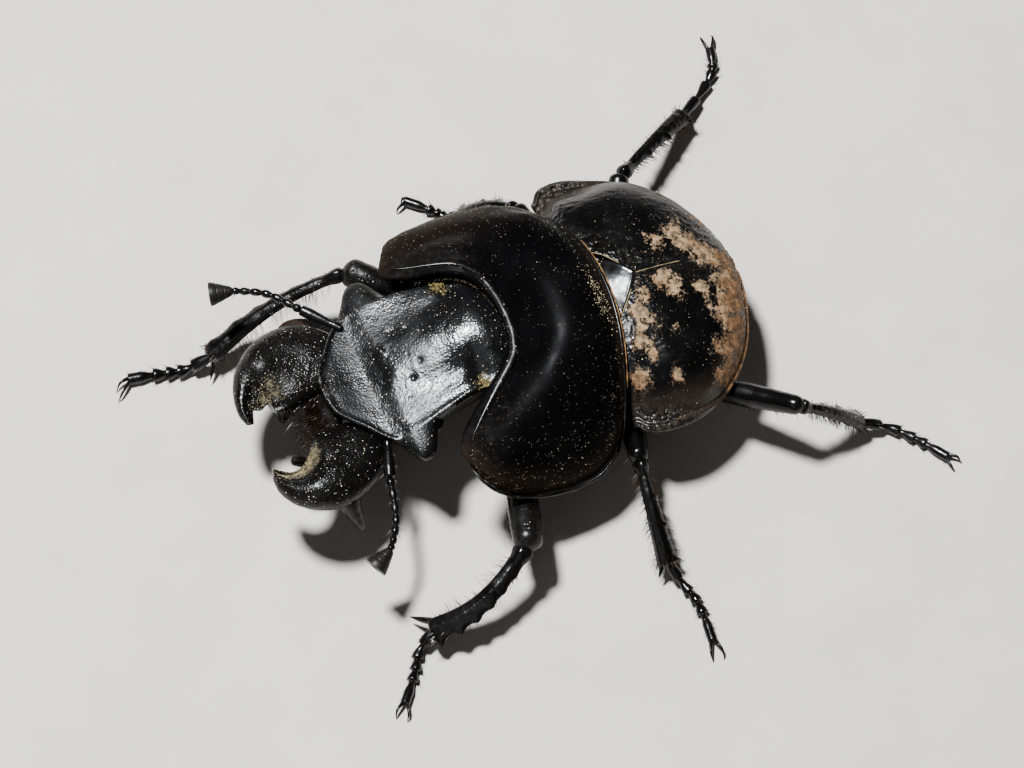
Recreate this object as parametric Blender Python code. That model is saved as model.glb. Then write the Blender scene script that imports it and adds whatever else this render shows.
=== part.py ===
"""Earth-boring dung beetle (genus Lethrus), a large male standing at life size.

Frame: +X is the beetle's left, -Y its head end, +Z up, and the floor is z = 0.
All sizes below are millimetres; MM turns them into metres as meshes are made.
The animal is a still model: every plate, limb and feeler is a piece of its own,
parted from its neighbours by thin gaps.
"""
import math

import bmesh
import bpy
from mathutils import Vector

MM = 0.001

# ---- driving dimensions (mm) -------------------------------------------------
GAP = 0.12                 # clearance between neighbouring plates and joints
SHELL = 0.5                # thickness of the pronotum and the wing cases

PRONOTUM_HALF_WIDTH = 7.4
PRONOTUM_FRONT_Y = -4.05   # middle of the front margin
PRONOTUM_CORNER_Y = -8.15  # front corners, reaching forward beside the head
PRONOTUM_REAR_Y = 1.0      # middle of the rear margin, before the scutellum

ELYTRA_HALF_WIDTH = 6.65
ELYTRA_BASE = (1.4, 3.85)  # y and z of the dome's centre, on the front edge
ELYTRA_RISE = 3.35         # height of the dome over its margin
HUMERUS_ANGLE = 102.0      # degrees from straight back to the front edge

BELLY_Z = 2.1
WAIST_Y = 3.3              # between the hind thorax and the belly segments

HEAD_TURN_X = -0.45        # the head is carried a little to the animal's right
EYE_RADIUS = 0.57
EYE_CENTRE = (3.22, -8.68, 5.15)

BLACK_CHITIN = (0.012, 0.011, 0.011, 1.0)
BROWN_CHITIN = (0.05, 0.028, 0.016, 1.0)
EYE_BLACK = (0.006, 0.006, 0.008, 1.0)

LEG_NAMES = ("fore_l", "mid_l", "hind_l", "fore_r", "mid_r", "hind_r")

# Joint places of each leg: shoulder (centre of the coxa), hip, knee, ankle and
# the path of the foot to the base of its claws, all as (x, y, z).
LEGS = {
    "fore_l": dict(
        shoulder=(2.2, -4.7, 2.4), hip=(3.3, -4.9, 2.1), knee=(9.35, -6.6, 3.4),
        ankle=(10.65, -12.0, 1.0), bow=(0.7, -0.1, 0.0),
        foot=((10.8, -12.3, 0.75), (11.1, -12.7, 0.42), (11.85, -13.2, 0.3),
              (12.6, -13.75, 0.28), (13.3, -14.3, 0.3)), claw=(14.0, -14.75, 0.1)),
    "fore_r": dict(
        shoulder=(-2.2, -4.7, 2.4), hip=(-3.1, -5.3, 2.5), knee=(-6.85, -9.1, 3.7),
        ankle=(-6.4, -16.4, 1.05), bow=(-0.45, 0.0, 0.15),
        foot=((-6.45, -16.9, 0.75), (-6.55, -17.45, 0.42), (-6.75, -18.3, 0.3),
              (-7.0, -19.3, 0.28), (-7.15, -20.15, 0.3)), claw=(-6.5, -21.0, 0.1)),
    "mid_l": dict(
        shoulder=(2.3, 0.85, 2.4), hip=(3.3, 0.7, 2.0), knee=(7.15, -0.25, 3.4),
        ankle=(11.7, -0.65, 1.0), bow=(0.1, -0.05, 0.2),
        foot=((12.0, -0.6, 0.75), (12.6, -0.25, 0.42), (13.5, 0.0, 0.3),
              (14.6, 0.0, 0.28), (15.7, -0.1, 0.3)), claw=(16.75, -0.2, 0.1)),
    "mid_r": dict(
        shoulder=(-2.3, 0.85, 2.4), hip=(-3.3, 0.6, 2.0), knee=(-7.0, -0.6, 3.6),
        ankle=(-8.95, -2.7, 1.1), bow=(-0.15, 0.1, 0.3),
        foot=((-9.2, -2.95, 0.8), (-9.55, -3.2, 0.42), (-9.95, -3.5, 0.3),
              (-10.55, -4.0, 0.28), (-11.2, -4.7, 0.3)), claw=(-10.95, -5.1, 0.1)),
    "hind_l": dict(
        shoulder=(2.3, 2.4, 2.4), hip=(3.2, 3.0, 1.85), knee=(7.8, 7.35, 4.2),
        ankle=(8.2, 10.45, 1.0), bow=(0.05, 0.1, 0.15),
        foot=((8.25, 10.85, 0.75), (8.7, 11.7, 0.42), (9.55, 12.55, 0.3),
              (10.35, 13.15, 0.28), (11.1, 13.65, 0.3)), claw=(11.75, 13.95, 0.1)),
    "hind_r": dict(
        shoulder=(-2.3, 2.4, 2.4), hip=(-3.2, 2.7, 1.85), knee=(-6.9, 4.55, 3.3),
        ankle=(-10.1, 9.2, 1.0), bow=(-0.1, 0.2, 0.15),
        foot=((-10.5, 9.6, 0.75), (-11.25, 10.6, 0.42), (-12.1, 11.5, 0.3),
              (-12.75, 11.8, 0.28), (-13.4, 11.95, 0.3)), claw=(-14.4, 12.1, 0.1)),
}


# ---- small tools ---------------------------------------------------------------
def spline(stations, t):
    """Catmull-Rom value at t in 0..1 through evenly spaced tuples of numbers."""
    last = len(stations) - 1
    place = min(max(t, 0.0), 1.0) * last
    k = min(int(place), last - 1)
    f = place - k
    before, a = stations[max(k - 1, 0)], stations[k]
    b, after = stations[k + 1], stations[min(k + 2, last)]
    return tuple(
        q + 0.5 * f * (r - p + f * (2 * p - 5 * q + 4 * r - s + f * (3 * (q - r) + s - p)))
        for p, q, r, s in zip(before, a, b, after))


def smoothstep(low, high, value):
    """0 below low, 1 above high, an easy S-curve between."""
    t = min(max((value - low) / (high - low), 0.0), 1.0)
    return t * t * (3 - 2 * t)


def clear_scene():
    """Remove whatever objects the opened file holds."""
    for item in list(bpy.data.objects):
        bpy.data.objects.remove(item, do_unlink=True)


def chitin(name, colour, roughness):
    """Principled material of one plate or limb."""
    material = bpy.data.materials.new(name)
    material.use_nodes = True
    shader = material.node_tree.nodes["Principled BSDF"]
    shader.inputs["Base Color"].default_value = colour
    shader.inputs["Roughness"].default_value = roughness
    shader.inputs["Metallic"].default_value = 0.0
    material.diffuse_color = colour
    return material


def solid(name, verts, faces, colour=BLACK_CHITIN, roughness=0.3):
    """One closed named body from points in mm, welded and facing outwards."""
    mesh = bpy.data.meshes.new(name)
    mesh.from_pydata([tuple(c * MM for c in v) for v in verts], [], faces)
    bm = bmesh.new()
    bm.from_mesh(mesh)
    bmesh.ops.remove_doubles(bm, verts=bm.verts, dist=0.004 * MM)
    bmesh.ops.dissolve_degenerate(bm, edges=bm.edges, dist=0.002 * MM)
    bmesh.ops.triangulate(bm, faces=bm.faces)
    bmesh.ops.recalc_face_normals(bm, faces=bm.faces)
    bm.to_mesh(mesh)
    bm.free()
    mesh.shade_smooth()
    mesh.set_sharp_from_angle(angle=math.radians(50))
    mesh.materials.append(chitin(name, colour, roughness))
    body = bpy.data.objects.new(name, mesh)
    bpy.context.scene.collection.objects.link(body)
    return body


def loft(rings):
    """Points and faces of a closed tube through rings of equal count."""
    n = len(rings[0])
    verts = [p for ring in rings for p in ring]
    faces = []
    for r in range(len(rings) - 1):
        for k in range(n):
            a, b = r * n + k, r * n + (k + 1) % n
            faces.append((a, b, b + n, a + n))
    last = (len(rings) - 1) * n
    faces.append(tuple(reversed(range(n))))
    faces.append(tuple(range(last, last + n)))
    return verts, faces


def shell(outer, inner):
    """Closed body between two grids (rows of points) of the same layout."""
    rows, cols = len(outer), len(outer[0])
    verts = [p for row in outer for p in row] + [p for row in inner for p in row]
    base = rows * cols
    faces = []
    for r in range(rows - 1):
        for c in range(cols - 1):
            a = r * cols + c
            quad = (a, a + 1, a + cols + 1, a + cols)
            faces.append(quad)
            faces.append(tuple(base + i for i in reversed(quad)))
    rim = [c for c in range(cols)]
    rim += [r * cols + cols - 1 for r in range(1, rows)]
    rim += [(rows - 1) * cols + c for c in range(cols - 2, -1, -1)]
    rim += [r * cols for r in range(rows - 2, 0, -1)]
    for i, a in enumerate(rim):
        b = rim[(i + 1) % len(rim)]
        faces.append((a, base + a, base + b, b))
    return verts, faces


def tube(path, sides=8, up=(0, 0, 1), floor=False):
    """Loft along a path of (x, y, z, half width, half height) stations."""
    rings = []
    up = Vector(up)
    for k, station in enumerate(path):
        ahead = Vector(path[min(k + 1, len(path) - 1)][:3])
        behind = Vector(path[max(k - 1, 0)][:3])
        along = (ahead - behind).normalized()
        side = along.cross(up).normalized()
        lift = side.cross(along).normalized()
        ring = []
        for i in range(sides):
            angle = 2 * math.pi * (i + 0.5) / sides
            point = (Vector(station[:3]) + side * station[3] * math.cos(angle)
                     + lift * station[4] * math.sin(angle))
            if floor:
                point.z = max(point.z, 0.0)
            ring.append(tuple(point))
        rings.append(ring)
    return loft(rings)


def ellipsoid(centre, radii, rings=8, sides=12):
    """Points and faces of an ellipsoid with its poles along X."""
    stations = []
    for k in range(rings + 1):
        angle = math.pi * k / rings
        reach = max(math.sin(angle), 0.02)
        stations.append([(centre[0] + radii[0] * math.cos(angle),
                          centre[1] + radii[1] * reach * math.cos(2 * math.pi * i / sides),
                          centre[2] + radii[2] * reach * math.sin(2 * math.pi * i / sides))
                         for i in range(sides)])
    return loft(stations)


def carve(body, cutter, operation="DIFFERENCE"):
    """Boolean modifier whose tool is a hidden wire object."""
    cutter.hide_render = True
    cutter.display_type = "WIRE"
    modifier = body.modifiers.new(cutter.name, "BOOLEAN")
    modifier.operation = operation
    modifier.object = cutter


def block(name, low, high):
    """Axis-aligned cutter between two corners in mm."""
    corners = [(x, y, z) for x in (low[0], high[0])
               for y in (low[1], high[1]) for z in (low[2], high[2])]
    faces = [(0, 1, 3, 2), (4, 6, 7, 5), (0, 4, 5, 1), (2, 3, 7, 6), (0, 2, 6, 4), (1, 5, 7, 3)]
    return solid(name, corners, faces)


# ---- pronotum and what lies under it ---------------------------------------------
# Half width (as a share of the widest), margin height and mid-line height of the
# pronotum at even steps from its front margin to its rear one.
PRONOTUM_STATIONS = (
    (0.78, 5.45, 7.05), (0.97, 4.3, 8.0), (1.0, 3.7, 8.55),
    (1.0, 3.4, 8.65), (0.945, 3.5, 8.35), (0.77, 4.1, 7.45))


def pronotum_point(u, v, inset=0.0):
    """Point of the pronotum's dome: u is -1..1 across it, v 0..1 front to rear."""
    share, margin_z, middle_z = spline(PRONOTUM_STATIONS, v)
    angle = u * math.pi / 2
    sine = math.sin(angle)
    front_x = abs(0.76 * PRONOTUM_HALF_WIDTH * sine)
    bay_edges = (2.0, 4.8) if u < 0 else (1.1, 5.2)
    front = PRONOTUM_FRONT_Y + ((PRONOTUM_CORNER_Y - PRONOTUM_FRONT_Y)
                                * smoothstep(*bay_edges, front_x))
    rear = PRONOTUM_REAR_Y - 1.3 * sine * sine
    x = (PRONOTUM_HALF_WIDTH * share - inset) * sine
    z = margin_z + (middle_z - inset - margin_z) * math.cos(angle) ** 0.9
    return x, front + (rear - front) * v, z


def make_pronotum(across=19, along=9):
    """The great domed shield, with its deep front bay for the head."""
    steps = [(2.0 * c / (across - 1) - 1, r / (along - 1))
             for r in range(along) for c in range(across)]
    outer = [pronotum_point(u, v) for u, v in steps]
    inner = [pronotum_point(u, v, SHELL) for u, v in steps]
    rows = [outer[r * across:(r + 1) * across] for r in range(along)]
    inner_rows = [inner[r * across:(r + 1) * across] for r in range(along)]
    return solid("pronotum", *shell(rows, inner_rows), roughness=0.25)


def make_prothorax(across=13, along=6):
    """Body of the fore thorax under the pronotum, with sockets for the coxae."""
    upper, lower = [], []
    for r in range(along):
        v = 0.14 + 0.66 * r / (along - 1)
        top_row, low_row = [], []
        for c in range(across):
            u = 2.0 * c / (across - 1) - 1
            x, y, z = pronotum_point(u, v, SHELL + GAP)
            share = abs(math.sin(u * math.pi / 2))
            margin_z = spline(PRONOTUM_STATIONS, v)[1]
            belly = BELLY_Z + (margin_z - 0.4 - BELLY_Z) * smoothstep(0.3, 1.0, share)
            top_row.append((x, y, z))
            low_row.append((x, y, belly))
        upper.append(top_row)
        lower.append(low_row)
    return solid("prothorax", *shell(upper, lower), roughness=0.45)


# ---- wing cases, hind thorax and belly ---------------------------------------------
# Reach of the wing cases' outline from the dome's centre, as a share of its
# widest, at even steps of angle from straight back to the front edge.
ELYTRA_REACH = (0.93, 0.93, 0.945, 0.975, 1.005, 1.025, 1.015, 0.98)


def elytra_point(turn, tilt, inset=0.0, rise=ELYTRA_RISE):
    """Point of the wing cases' dome: turn 0..1 suture to shoulder, tilt 0..1 top to rim."""
    angle = math.radians(HUMERUS_ANGLE) * turn
    reach = ELYTRA_HALF_WIDTH * spline([(r,) for r in ELYTRA_REACH], turn)[0] - inset
    fall = tilt * math.pi / 2
    margin_z = ELYTRA_BASE[1] + 0.35 * smoothstep(0.45, 1.0, turn)
    x = reach * math.sin(fall) * math.sin(angle)
    y = ELYTRA_BASE[0] + reach * math.sin(fall) * math.cos(angle)
    top = ELYTRA_BASE[1] + rise - inset
    z = margin_z + (top - margin_z) * math.cos(fall) ** 0.95
    return x, y, z


def make_elytron(side, turns=12, tilts=7):
    """One domed wing case; side is +1 for the left one, -1 for the right."""
    name = "elytron_l" if side > 0 else "elytron_r"
    grids = []
    for inset in (0.0, SHELL):
        grid = []
        for r in range(turns + 1):
            row = []
            for c in range(tilts + 1):
                x, y, z = elytra_point(r / turns, 0.02 + 0.98 * c / tilts, inset)
                row.append((side * (x + GAP / 2), y, z))
            grid.append(row)
        grids.append(grid)
    return solid(name, *shell(*grids), roughness=0.25)


def make_hind_body(name, turns=8, tilts=4):
    """Core under the wing cases, from their inside down to the belly."""
    rings = []
    inset = SHELL + GAP
    levels = [(c / tilts, "top") for c in range(tilts + 1)]
    levels += [(1 - c / tilts, "belly") for c in range(tilts + 1)]
    for tilt, part in levels:
        ring = []
        for k in range(-turns, turns + 1):
            x, y, z = elytra_point(abs(k) / turns, max(tilt, 0.03), inset)
            if part == "belly":
                depth = ELYTRA_BASE[1] - 0.15 - BELLY_Z
                z = BELLY_Z + depth * (1 - math.cos(tilt * math.pi / 2) ** 1.8)
            ring.append((math.copysign(x, k) if k else 0.0, y, z))
        rings.append(ring)
    return solid(name, *loft(rings), roughness=0.4)


def make_scutellum():
    """Small shield plate between the wing cases' bases."""
    half, front, tip = 1.45, PRONOTUM_REAR_Y + 0.2, 2.55
    top, thick = ELYTRA_BASE[1] + ELYTRA_RISE + 0.03, 0.6
    outline = ((-half, front), (half, front), (0.75, 1.95), (0.0, tip), (-0.75, 1.95))
    slope = (top - 0.12 - top) / (tip - front)
    upper = [(x, y, top + slope * (y - front) - 0.05 * abs(x)) for x, y in outline]
    lower = [(x * 0.98, y, z - thick) for x, y, z in upper]
    plate = solid("scutellum", *loft([lower, upper]), roughness=0.2)
    side, room = half + 0.15, 0.2
    wide = ((-side, front - 0.6), (side, front - 0.6), (side, front + 0.1), (0.75 + room, 1.95 + room),
            (0.0, tip + room), (-0.75 - room, 1.95 + room), (-side, front + 0.1))
    notch = solid("scutellum_notch", *loft([[(x, y, z) for x, y in wide] for z in (5.0, 9.0)]))
    return plate, notch


# ---- head -------------------------------------------------------------------------------
# Half width, top and underside heights of the head, at even steps from its neck
# under the pronotum to the front rim of the clypeus.
HEAD_REAR_Y = -4.35
HEAD_FRONT_Y = -12.7
HEAD_STATIONS = (
    (1.3, 6.5, 4.3), (2.6, 6.8, 3.5), (2.9, 6.95, 3.1), (3.12, 6.8, 2.9), (3.3, 6.5, 2.8),
    (3.42, 6.2, 2.9), (3.45, 5.9, 3.2), (3.25, 5.6, 3.7), (2.3, 5.45, 4.5), (0.95, 5.45, 5.05))


def head_ring(t, sides=18):
    """Cross-section of the head at t in 0..1 from neck to rim."""
    half, top, low = spline(HEAD_STATIONS, t)
    y = HEAD_REAR_Y + (HEAD_FRONT_Y - HEAD_REAR_Y) * t
    ring = []
    for k in range(sides):
        angle = 2 * math.pi * k / sides
        c, s = math.cos(angle), math.sin(angle)
        square = (abs(c) ** 3 + abs(s) ** 3) ** (-1 / 3)
        middle = (top + low) / 2
        x = half * c * square
        z = middle + (top - low) / 2 * s * square
        cheek = math.exp(-abs((y + 9.43) / 0.85) ** 2.8 - ((z - 4.95) / 0.7) ** 2)
        x += math.copysign(1.45 * cheek, x)
        ring.append((x + HEAD_TURN_X * smoothstep(0.0, 0.5, t), y, z))
    return ring


def make_head(steps=14):
    """Head capsule with the clypeus in front and a cheek knob before each eye."""
    return solid("head", *loft([head_ring(k / steps) for k in range(steps + 1)]), roughness=0.4)


def make_eye(side):
    """One compound eye and the larger ball that hollows its socket."""
    centre = (HEAD_TURN_X + side * EYE_CENTRE[0], EYE_CENTRE[1], EYE_CENTRE[2])
    letter = "l" if side > 0 else "r"
    eye = solid("eye_" + letter, *ellipsoid(centre, (EYE_RADIUS,) * 3, 6, 8), EYE_BLACK, 0.1)
    socket = solid("socket_" + letter, *ellipsoid(centre, (EYE_RADIUS + 0.08,) * 3, 6, 8))
    return eye, socket


# Centre line, half width and half height of each jaw, root to tip, and of the
# tusk that hangs from its underside in males.
MANDIBLE_L = (
    (2.2, -11.8, 4.0, 0.75, 0.75), (2.85, -12.75, 4.4, 1.45, 1.05), (3.35, -13.8, 4.5, 1.45, 0.95),
    (3.7, -14.8, 4.55, 0.95, 0.7), (3.2, -15.75, 4.6, 0.55, 0.45), (2.0, -16.15, 4.6, 0.25, 0.25))
MANDIBLE_R = (
    (-2.9, -11.8, 4.0, 0.75, 0.75), (-3.1, -12.75, 4.4, 1.55, 1.05), (-3.05, -13.8, 4.5, 1.65, 0.98),
    (-2.85, -14.85, 4.6, 1.4, 0.8), (-1.95, -15.8, 4.6, 0.75, 0.45), (-0.75, -16.3, 4.6, 0.3, 0.25))
TUSK_L = (
    (3.9, -13.4, 4.0, 0.9, 0.6), (4.35, -13.35, 3.4, 0.75, 0.5), (4.75, -13.2, 2.7, 0.5, 0.4),
    (5.0, -13.15, 2.15, 0.25, 0.25))


def make_mandible(side, steps=10):
    """One crescent jaw with its tusk joined on below."""
    name = "mandible_l" if side > 0 else "mandible_r"
    stations = MANDIBLE_L if side > 0 else MANDIBLE_R
    path = [spline(stations, k / steps) for k in range(steps + 1)]
    jaw = solid(name, *tube(path, 10), roughness=0.35)
    tusk_path = []
    for k in range(6):
        x, y, z, wide, high = spline(TUSK_L, k / 5)
        shift = 0.0 if side > 0 else 0.2
        tusk_path.append((side * (x - shift), y, z, wide, high))
    tusk = solid(name + "_tusk", *tube(tusk_path, 8, up=(0, 1, 0)))
    carve(jaw, tusk, "UNION")
    return jaw


def make_labrum():
    """Upper lip between the jaws."""
    path = [(-0.2, -12.85, 4.75, 0.8, 0.3), (-0.15, -13.2, 4.7, 0.9, 0.3),
            (0.1, -13.7, 4.6, 0.75, 0.28), (0.2, -13.95, 4.5, 0.5, 0.25)]
    return solid("labrum", *tube(path, 10), BROWN_CHITIN, 0.5)


PALPS = {
    "maxillary_palp_l": ((1.3, -11.6, 3.0), (1.7, -12.9, 2.8), (1.7, -14.0, 3.2), (1.4, -15.1, 3.7)),
    "maxillary_palp_r": ((-1.5, -11.6, 3.0), (-1.8, -12.9, 2.7), (-1.6, -13.9, 2.8), (-1.0, -14.8, 3.1)),
    "labial_palp_l": ((0.5, -11.6, 3.0), (0.7, -12.5, 2.6), (0.6, -13.3, 2.5)),
    "labial_palp_r": ((-0.6, -11.6, 3.0), (-0.8, -12.5, 2.5), (-0.7, -13.3, 2.4)),
}


def make_palp(name, points, steps=5):
    """Jointed mouth feeler as one slender rod with a blunt end."""
    path = []
    for k in range(steps + 1):
        x, y, z = spline(points, k / steps)
        size = 0.27 if k in (0, steps) else 0.3
        path.append((x, y, z, size, size))
    return solid(name, *tube(path, 6), BROWN_CHITIN, 0.3)


# Feelers: root, elbow, then the stalk's bend and the club's base and flat end.
ANTENNAE = {
    "l": dict(root=(2.85, -10.9, 4.85), elbow=(4.55, -11.45, 4.75), bend=(6.4, -11.9, 4.4),
              club=(7.5, -12.55, 4.05), end=(8.0, -13.55, 3.8)),
    "r": dict(root=(-3.6, -11.1, 5.45), elbow=(-4.9, -12.25, 5.55), bend=(-6.25, -13.3, 5.4),
              club=(-7.1, -14.6, 5.2), end=(-7.4, -15.7, 5.1)),
}


def along_line(a, b, share):
    """Point at a share of the way from a to b."""
    return tuple(p + (q - p) * share for p, q in zip(a, b))


def make_antenna(letter, places):
    """Thick first joint, thin stalk of small joints and a cone-shaped club."""
    root, elbow, bend = places["root"], places["elbow"], places["bend"]
    club, end = places["club"], places["end"]
    path = [along_line(root, elbow, s) + (r, r)
            for s, r in ((0.0, 0.2), (0.12, 0.27), (0.55, 0.3), (0.88, 0.27), (0.93, 0.2))]
    solid("antenna_scape_" + letter, *tube(path, 6), roughness=0.2)
    stalk = []
    for k in range(7):
        place = spline((elbow, bend, club), 0.02 + 0.92 * k / 6)
        size = 0.25 if k in (0, 6) else 0.27
        stalk.append(place + (size, size))
    solid("antenna_stalk_" + letter, *tube(stalk, 6), roughness=0.25)
    cone = [along_line(club, end, s) + (r, r * 0.9)
            for s, r in ((0.03, 0.22), (0.35, 0.36), (0.7, 0.5), (0.93, 0.56), (1.0, 0.5))]
    solid("antenna_club_" + letter, *tube(cone, 8), roughness=0.3)


# ---- legs ---------------------------------------------------------------------------------
def make_coxa(name, leg):
    """Barrel joint set in the underside, and the larger one that hollows its seat."""
    x, y, z = leg["shoulder"]
    radii = (1.25, 0.7, 0.8)
    coxa = solid("coxa_" + name, *ellipsoid((x, y, z), radii, 5, 8), roughness=0.35)
    grown = tuple(r + GAP for r in radii)
    seat = solid("seat_" + name, *ellipsoid((x, y, z), grown, 5, 8))
    return coxa, seat


def make_femur(name, leg, seat):
    """Spindle-shaped thigh from the coxa to the knee."""
    thick = 0.72 if name.startswith("fore") else 0.6
    profile = ((0.0, 0.3), (0.12, 0.5), (0.35, 0.95), (0.6, 1.0), (0.82, 0.85), (0.94, 0.72), (1.0, 0.5))
    path = [along_line(leg["hip"], leg["knee"], s) + (thick * r, thick * r * 0.92)
            for s, r in profile]
    femur = solid("femur_" + name, *tube(path, 8), roughness=0.2)
    carve(femur, seat)
    return femur


def make_tibia(name, leg, steps=10):
    """Shin widening to the foot; the digging fore shin has teeth on its outer edge."""
    fore = name.startswith("fore")
    knee, ankle, bow = leg["knee"], leg["ankle"], leg["bow"]
    length = (Vector(ankle) - Vector(knee)).length
    start, stop = 0.55 / length, 1 - 0.1 / length
    path = []
    for k in range(steps + 1):
        t = k / steps
        centre = along_line(knee, ankle, start + (stop - start) * t)
        arch = math.sin(math.pi * t)
        centre = tuple(c + b * arch for c, b in zip(centre, bow))
        wide = 0.3 + (0.3 if fore else 0.16) * t
        wide += 0.1 * math.sin(math.pi * min(t * 4, 1.0))
        if fore and k % 2 == 0 and k > 3:
            wide += 0.14
        wide *= 0.75 if name == "fore_r" else 1.0
        path.append(centre + (wide, 0.3 + 0.08 * t))
    return solid("tibia_" + name, *tube(path, 8), roughness=0.3)


def make_tarsus(name, leg, parts=5):
    """Foot of five swelling joints with two hooked claws, resting on small flats."""
    path = []
    points = leg["foot"]
    for part in range(parts):
        for share, size in ((0.0, 0.25), (0.7, 0.32)):
            t = (part + share) / parts
            path.append(spline(points, t) + (size, size))
    path.append(points[-1] + (0.25, 0.25))
    foot = solid("tarsus_" + name, *tube(path, 6, floor=True), roughness=0.25)
    root, tip = Vector(points[-1]), Vector(leg["claw"])
    before = Vector(points[-2])
    heading = (root - before).normalized()
    aside = heading.cross(Vector((0, 0, 1))).normalized()
    for sign in (-1, 1):
        knuckle = root - heading * 0.12 + aside * 0.1 * sign
        middle = (root + tip) / 2 + aside * 0.34 * sign + Vector((0, 0, 0.16))
        end = tip + aside * 0.34 * sign
        end.z = 0.1
        stations = [tuple(knuckle) + (0.2,), tuple(middle) + (0.17,), tuple(end) + (0.1,)]
        claw_path = []
        for k in range(5):
            x, y, z, size = spline(stations, k / 4)
            claw_path.append((x, y, z, size, size))
        claw = solid("claw_%s_%d" % (name, sign), *tube(claw_path, 5, floor=True))
        carve(foot, claw, "UNION")
    return foot


def make_leg(name):
    """All four pieces of one leg; gives back the cutter of its seat."""
    leg = LEGS[name]
    coxa, seat = make_coxa(name, leg)
    make_femur(name, leg, seat)
    make_tibia(name, leg)
    make_tarsus(name, leg)
    return seat


def centre_over_floor():
    """Slide everything so that the origin is the middle of the footprint."""
    bpy.context.view_layer.update()
    graph = bpy.context.evaluated_depsgraph_get()
    corners = []
    for item in bpy.data.objects:
        if not item.hide_render:
            corners += [Vector(c) for c in item.evaluated_get(graph).bound_box]
    middle = [(min(c[i] for c in corners) + max(c[i] for c in corners)) / 2 for i in (0, 1)]
    for item in bpy.data.objects:
        item.location = (-middle[0], -middle[1], 0.0)


def main():
    """Build every piece of the animal."""
    clear_scene()
    make_pronotum()
    prothorax = make_prothorax()
    wing_cases = [make_elytron(1), make_elytron(-1)]
    scutellum, notch = make_scutellum()
    for case in wing_cases:
        carve(case, notch)
    metathorax = make_hind_body("metathorax")
    carve(metathorax, block("waist_front", (-9, -2, 0), (9, WAIST_Y - GAP / 2, 12)), "INTERSECT")
    carve(metathorax, notch)
    abdomen = make_hind_body("abdomen")
    carve(abdomen, block("waist_rear", (-9, WAIST_Y + GAP / 2, 0), (9, 12, 12)), "INTERSECT")
    head = make_head()
    for side in (1, -1):
        eye, socket = make_eye(side)
        carve(head, socket)
        make_mandible(side)
    make_labrum()
    for name, points in PALPS.items():
        make_palp(name, points)
    for letter, places in ANTENNAE.items():
        make_antenna(letter, places)
    for name in LEG_NAMES:
        seat = make_leg(name)
        carve(prothorax if name.startswith("fore") else metathorax, seat)
    centre_over_floor()


main()
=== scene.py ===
"""Looks of the earth-boring dung beetle: fine shells, limbs, bristles, dust, light and camera.

Lengths are millimetres in the animal's own frame (+X its left, -Y its head, +Z up,
floor at z = 0) until a mesh is made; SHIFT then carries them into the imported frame.
"""
import math
import random
from random import gauss, uniform

import bmesh
import bpy
import numpy as np
from mathutils import Matrix, Vector, noise


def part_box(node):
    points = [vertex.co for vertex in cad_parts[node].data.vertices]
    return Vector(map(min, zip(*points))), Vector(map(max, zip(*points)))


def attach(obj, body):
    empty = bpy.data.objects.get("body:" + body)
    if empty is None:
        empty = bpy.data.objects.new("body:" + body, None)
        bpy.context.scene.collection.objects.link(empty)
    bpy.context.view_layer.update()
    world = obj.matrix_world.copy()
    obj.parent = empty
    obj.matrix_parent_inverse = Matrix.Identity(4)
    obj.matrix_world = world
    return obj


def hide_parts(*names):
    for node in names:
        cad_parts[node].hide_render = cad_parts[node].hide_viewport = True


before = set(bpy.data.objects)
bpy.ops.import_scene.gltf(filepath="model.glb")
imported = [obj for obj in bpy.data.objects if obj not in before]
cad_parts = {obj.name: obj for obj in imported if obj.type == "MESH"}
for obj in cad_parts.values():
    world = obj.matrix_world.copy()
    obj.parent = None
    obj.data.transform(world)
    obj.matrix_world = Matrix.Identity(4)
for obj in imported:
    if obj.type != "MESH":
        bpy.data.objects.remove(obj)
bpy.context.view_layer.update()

MM = 0.001
PI, TURN = math.pi, 2 * math.pi
UP = np.array((0.0, 0.0, 1.0))
SIDES = (("l", 1), ("r", -1))
# Steps of the half circle that rolls a shell's border over.
EDGE_STEPS = 5
PRONOTUM_HALF_WIDTH = 7.4
PRONOTUM_FRONT_Y = -4.05
PRONOTUM_REAR_Y = 1.0
# The wing cases: y and height of their base, rise of the dome, and its turn from suture to shoulder.
ELYTRA_HALF_WIDTH = 6.65
BASE_Y, BASE_Z = 1.4, 3.85
ELYTRA_RISE = 3.35
SHOULDER_ANGLE = math.radians(102.0)
# How far the body lies inside the outline of the shells over it.
BODY_INSET = 0.62
SHIELD_THICK, WING_THICK, PLATE_THICK = 0.36, 0.34, 0.4
BELLY_Z = 2.1
WAIST_Y = 3.3
HEAD_MIDDLE_X = -0.45

shield_low, shield_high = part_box("pronotum")
SHIFT = np.array(((shield_low[0] + shield_high[0]) / 2 / MM,
                  shield_high[1] / MM - PRONOTUM_REAR_Y, 0.0))
random.seed(7)


# ---- numbers and curves ----
def spline(stations, t):
    """Catmull-Rom rows for an array of t in 0..1 through evenly spaced stations."""
    table = np.array(stations, float)
    if table.ndim == 1:
        table = table[:, None]
    t = np.atleast_1d(np.asarray(t, float))
    last = len(table) - 1
    place = np.clip(t, 0, 1) * last
    k = np.minimum(place.astype(int), last - 1)
    f = (place - k)[:, None]
    p, q = table[np.maximum(k - 1, 0)], table[k]
    r, s = table[k + 1], table[np.minimum(k + 2, last)]
    return q + 0.5 * f * (r - p + f * (2 * p - 5 * q + 4 * r - s + f * (3 * (q - r) + s - p)))


def smoothstep(low, high, value):
    """0 below low, 1 above high, an easy S-curve between."""
    t = np.clip((np.asarray(value, float) - low) / (high - low), 0.0, 1.0)
    return t * t * (3 - 2 * t)


def bell(value, centre, width):
    """Smooth bump of height 1 around a centre."""
    return np.exp(-((value - centre) / width) ** 2)


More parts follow.
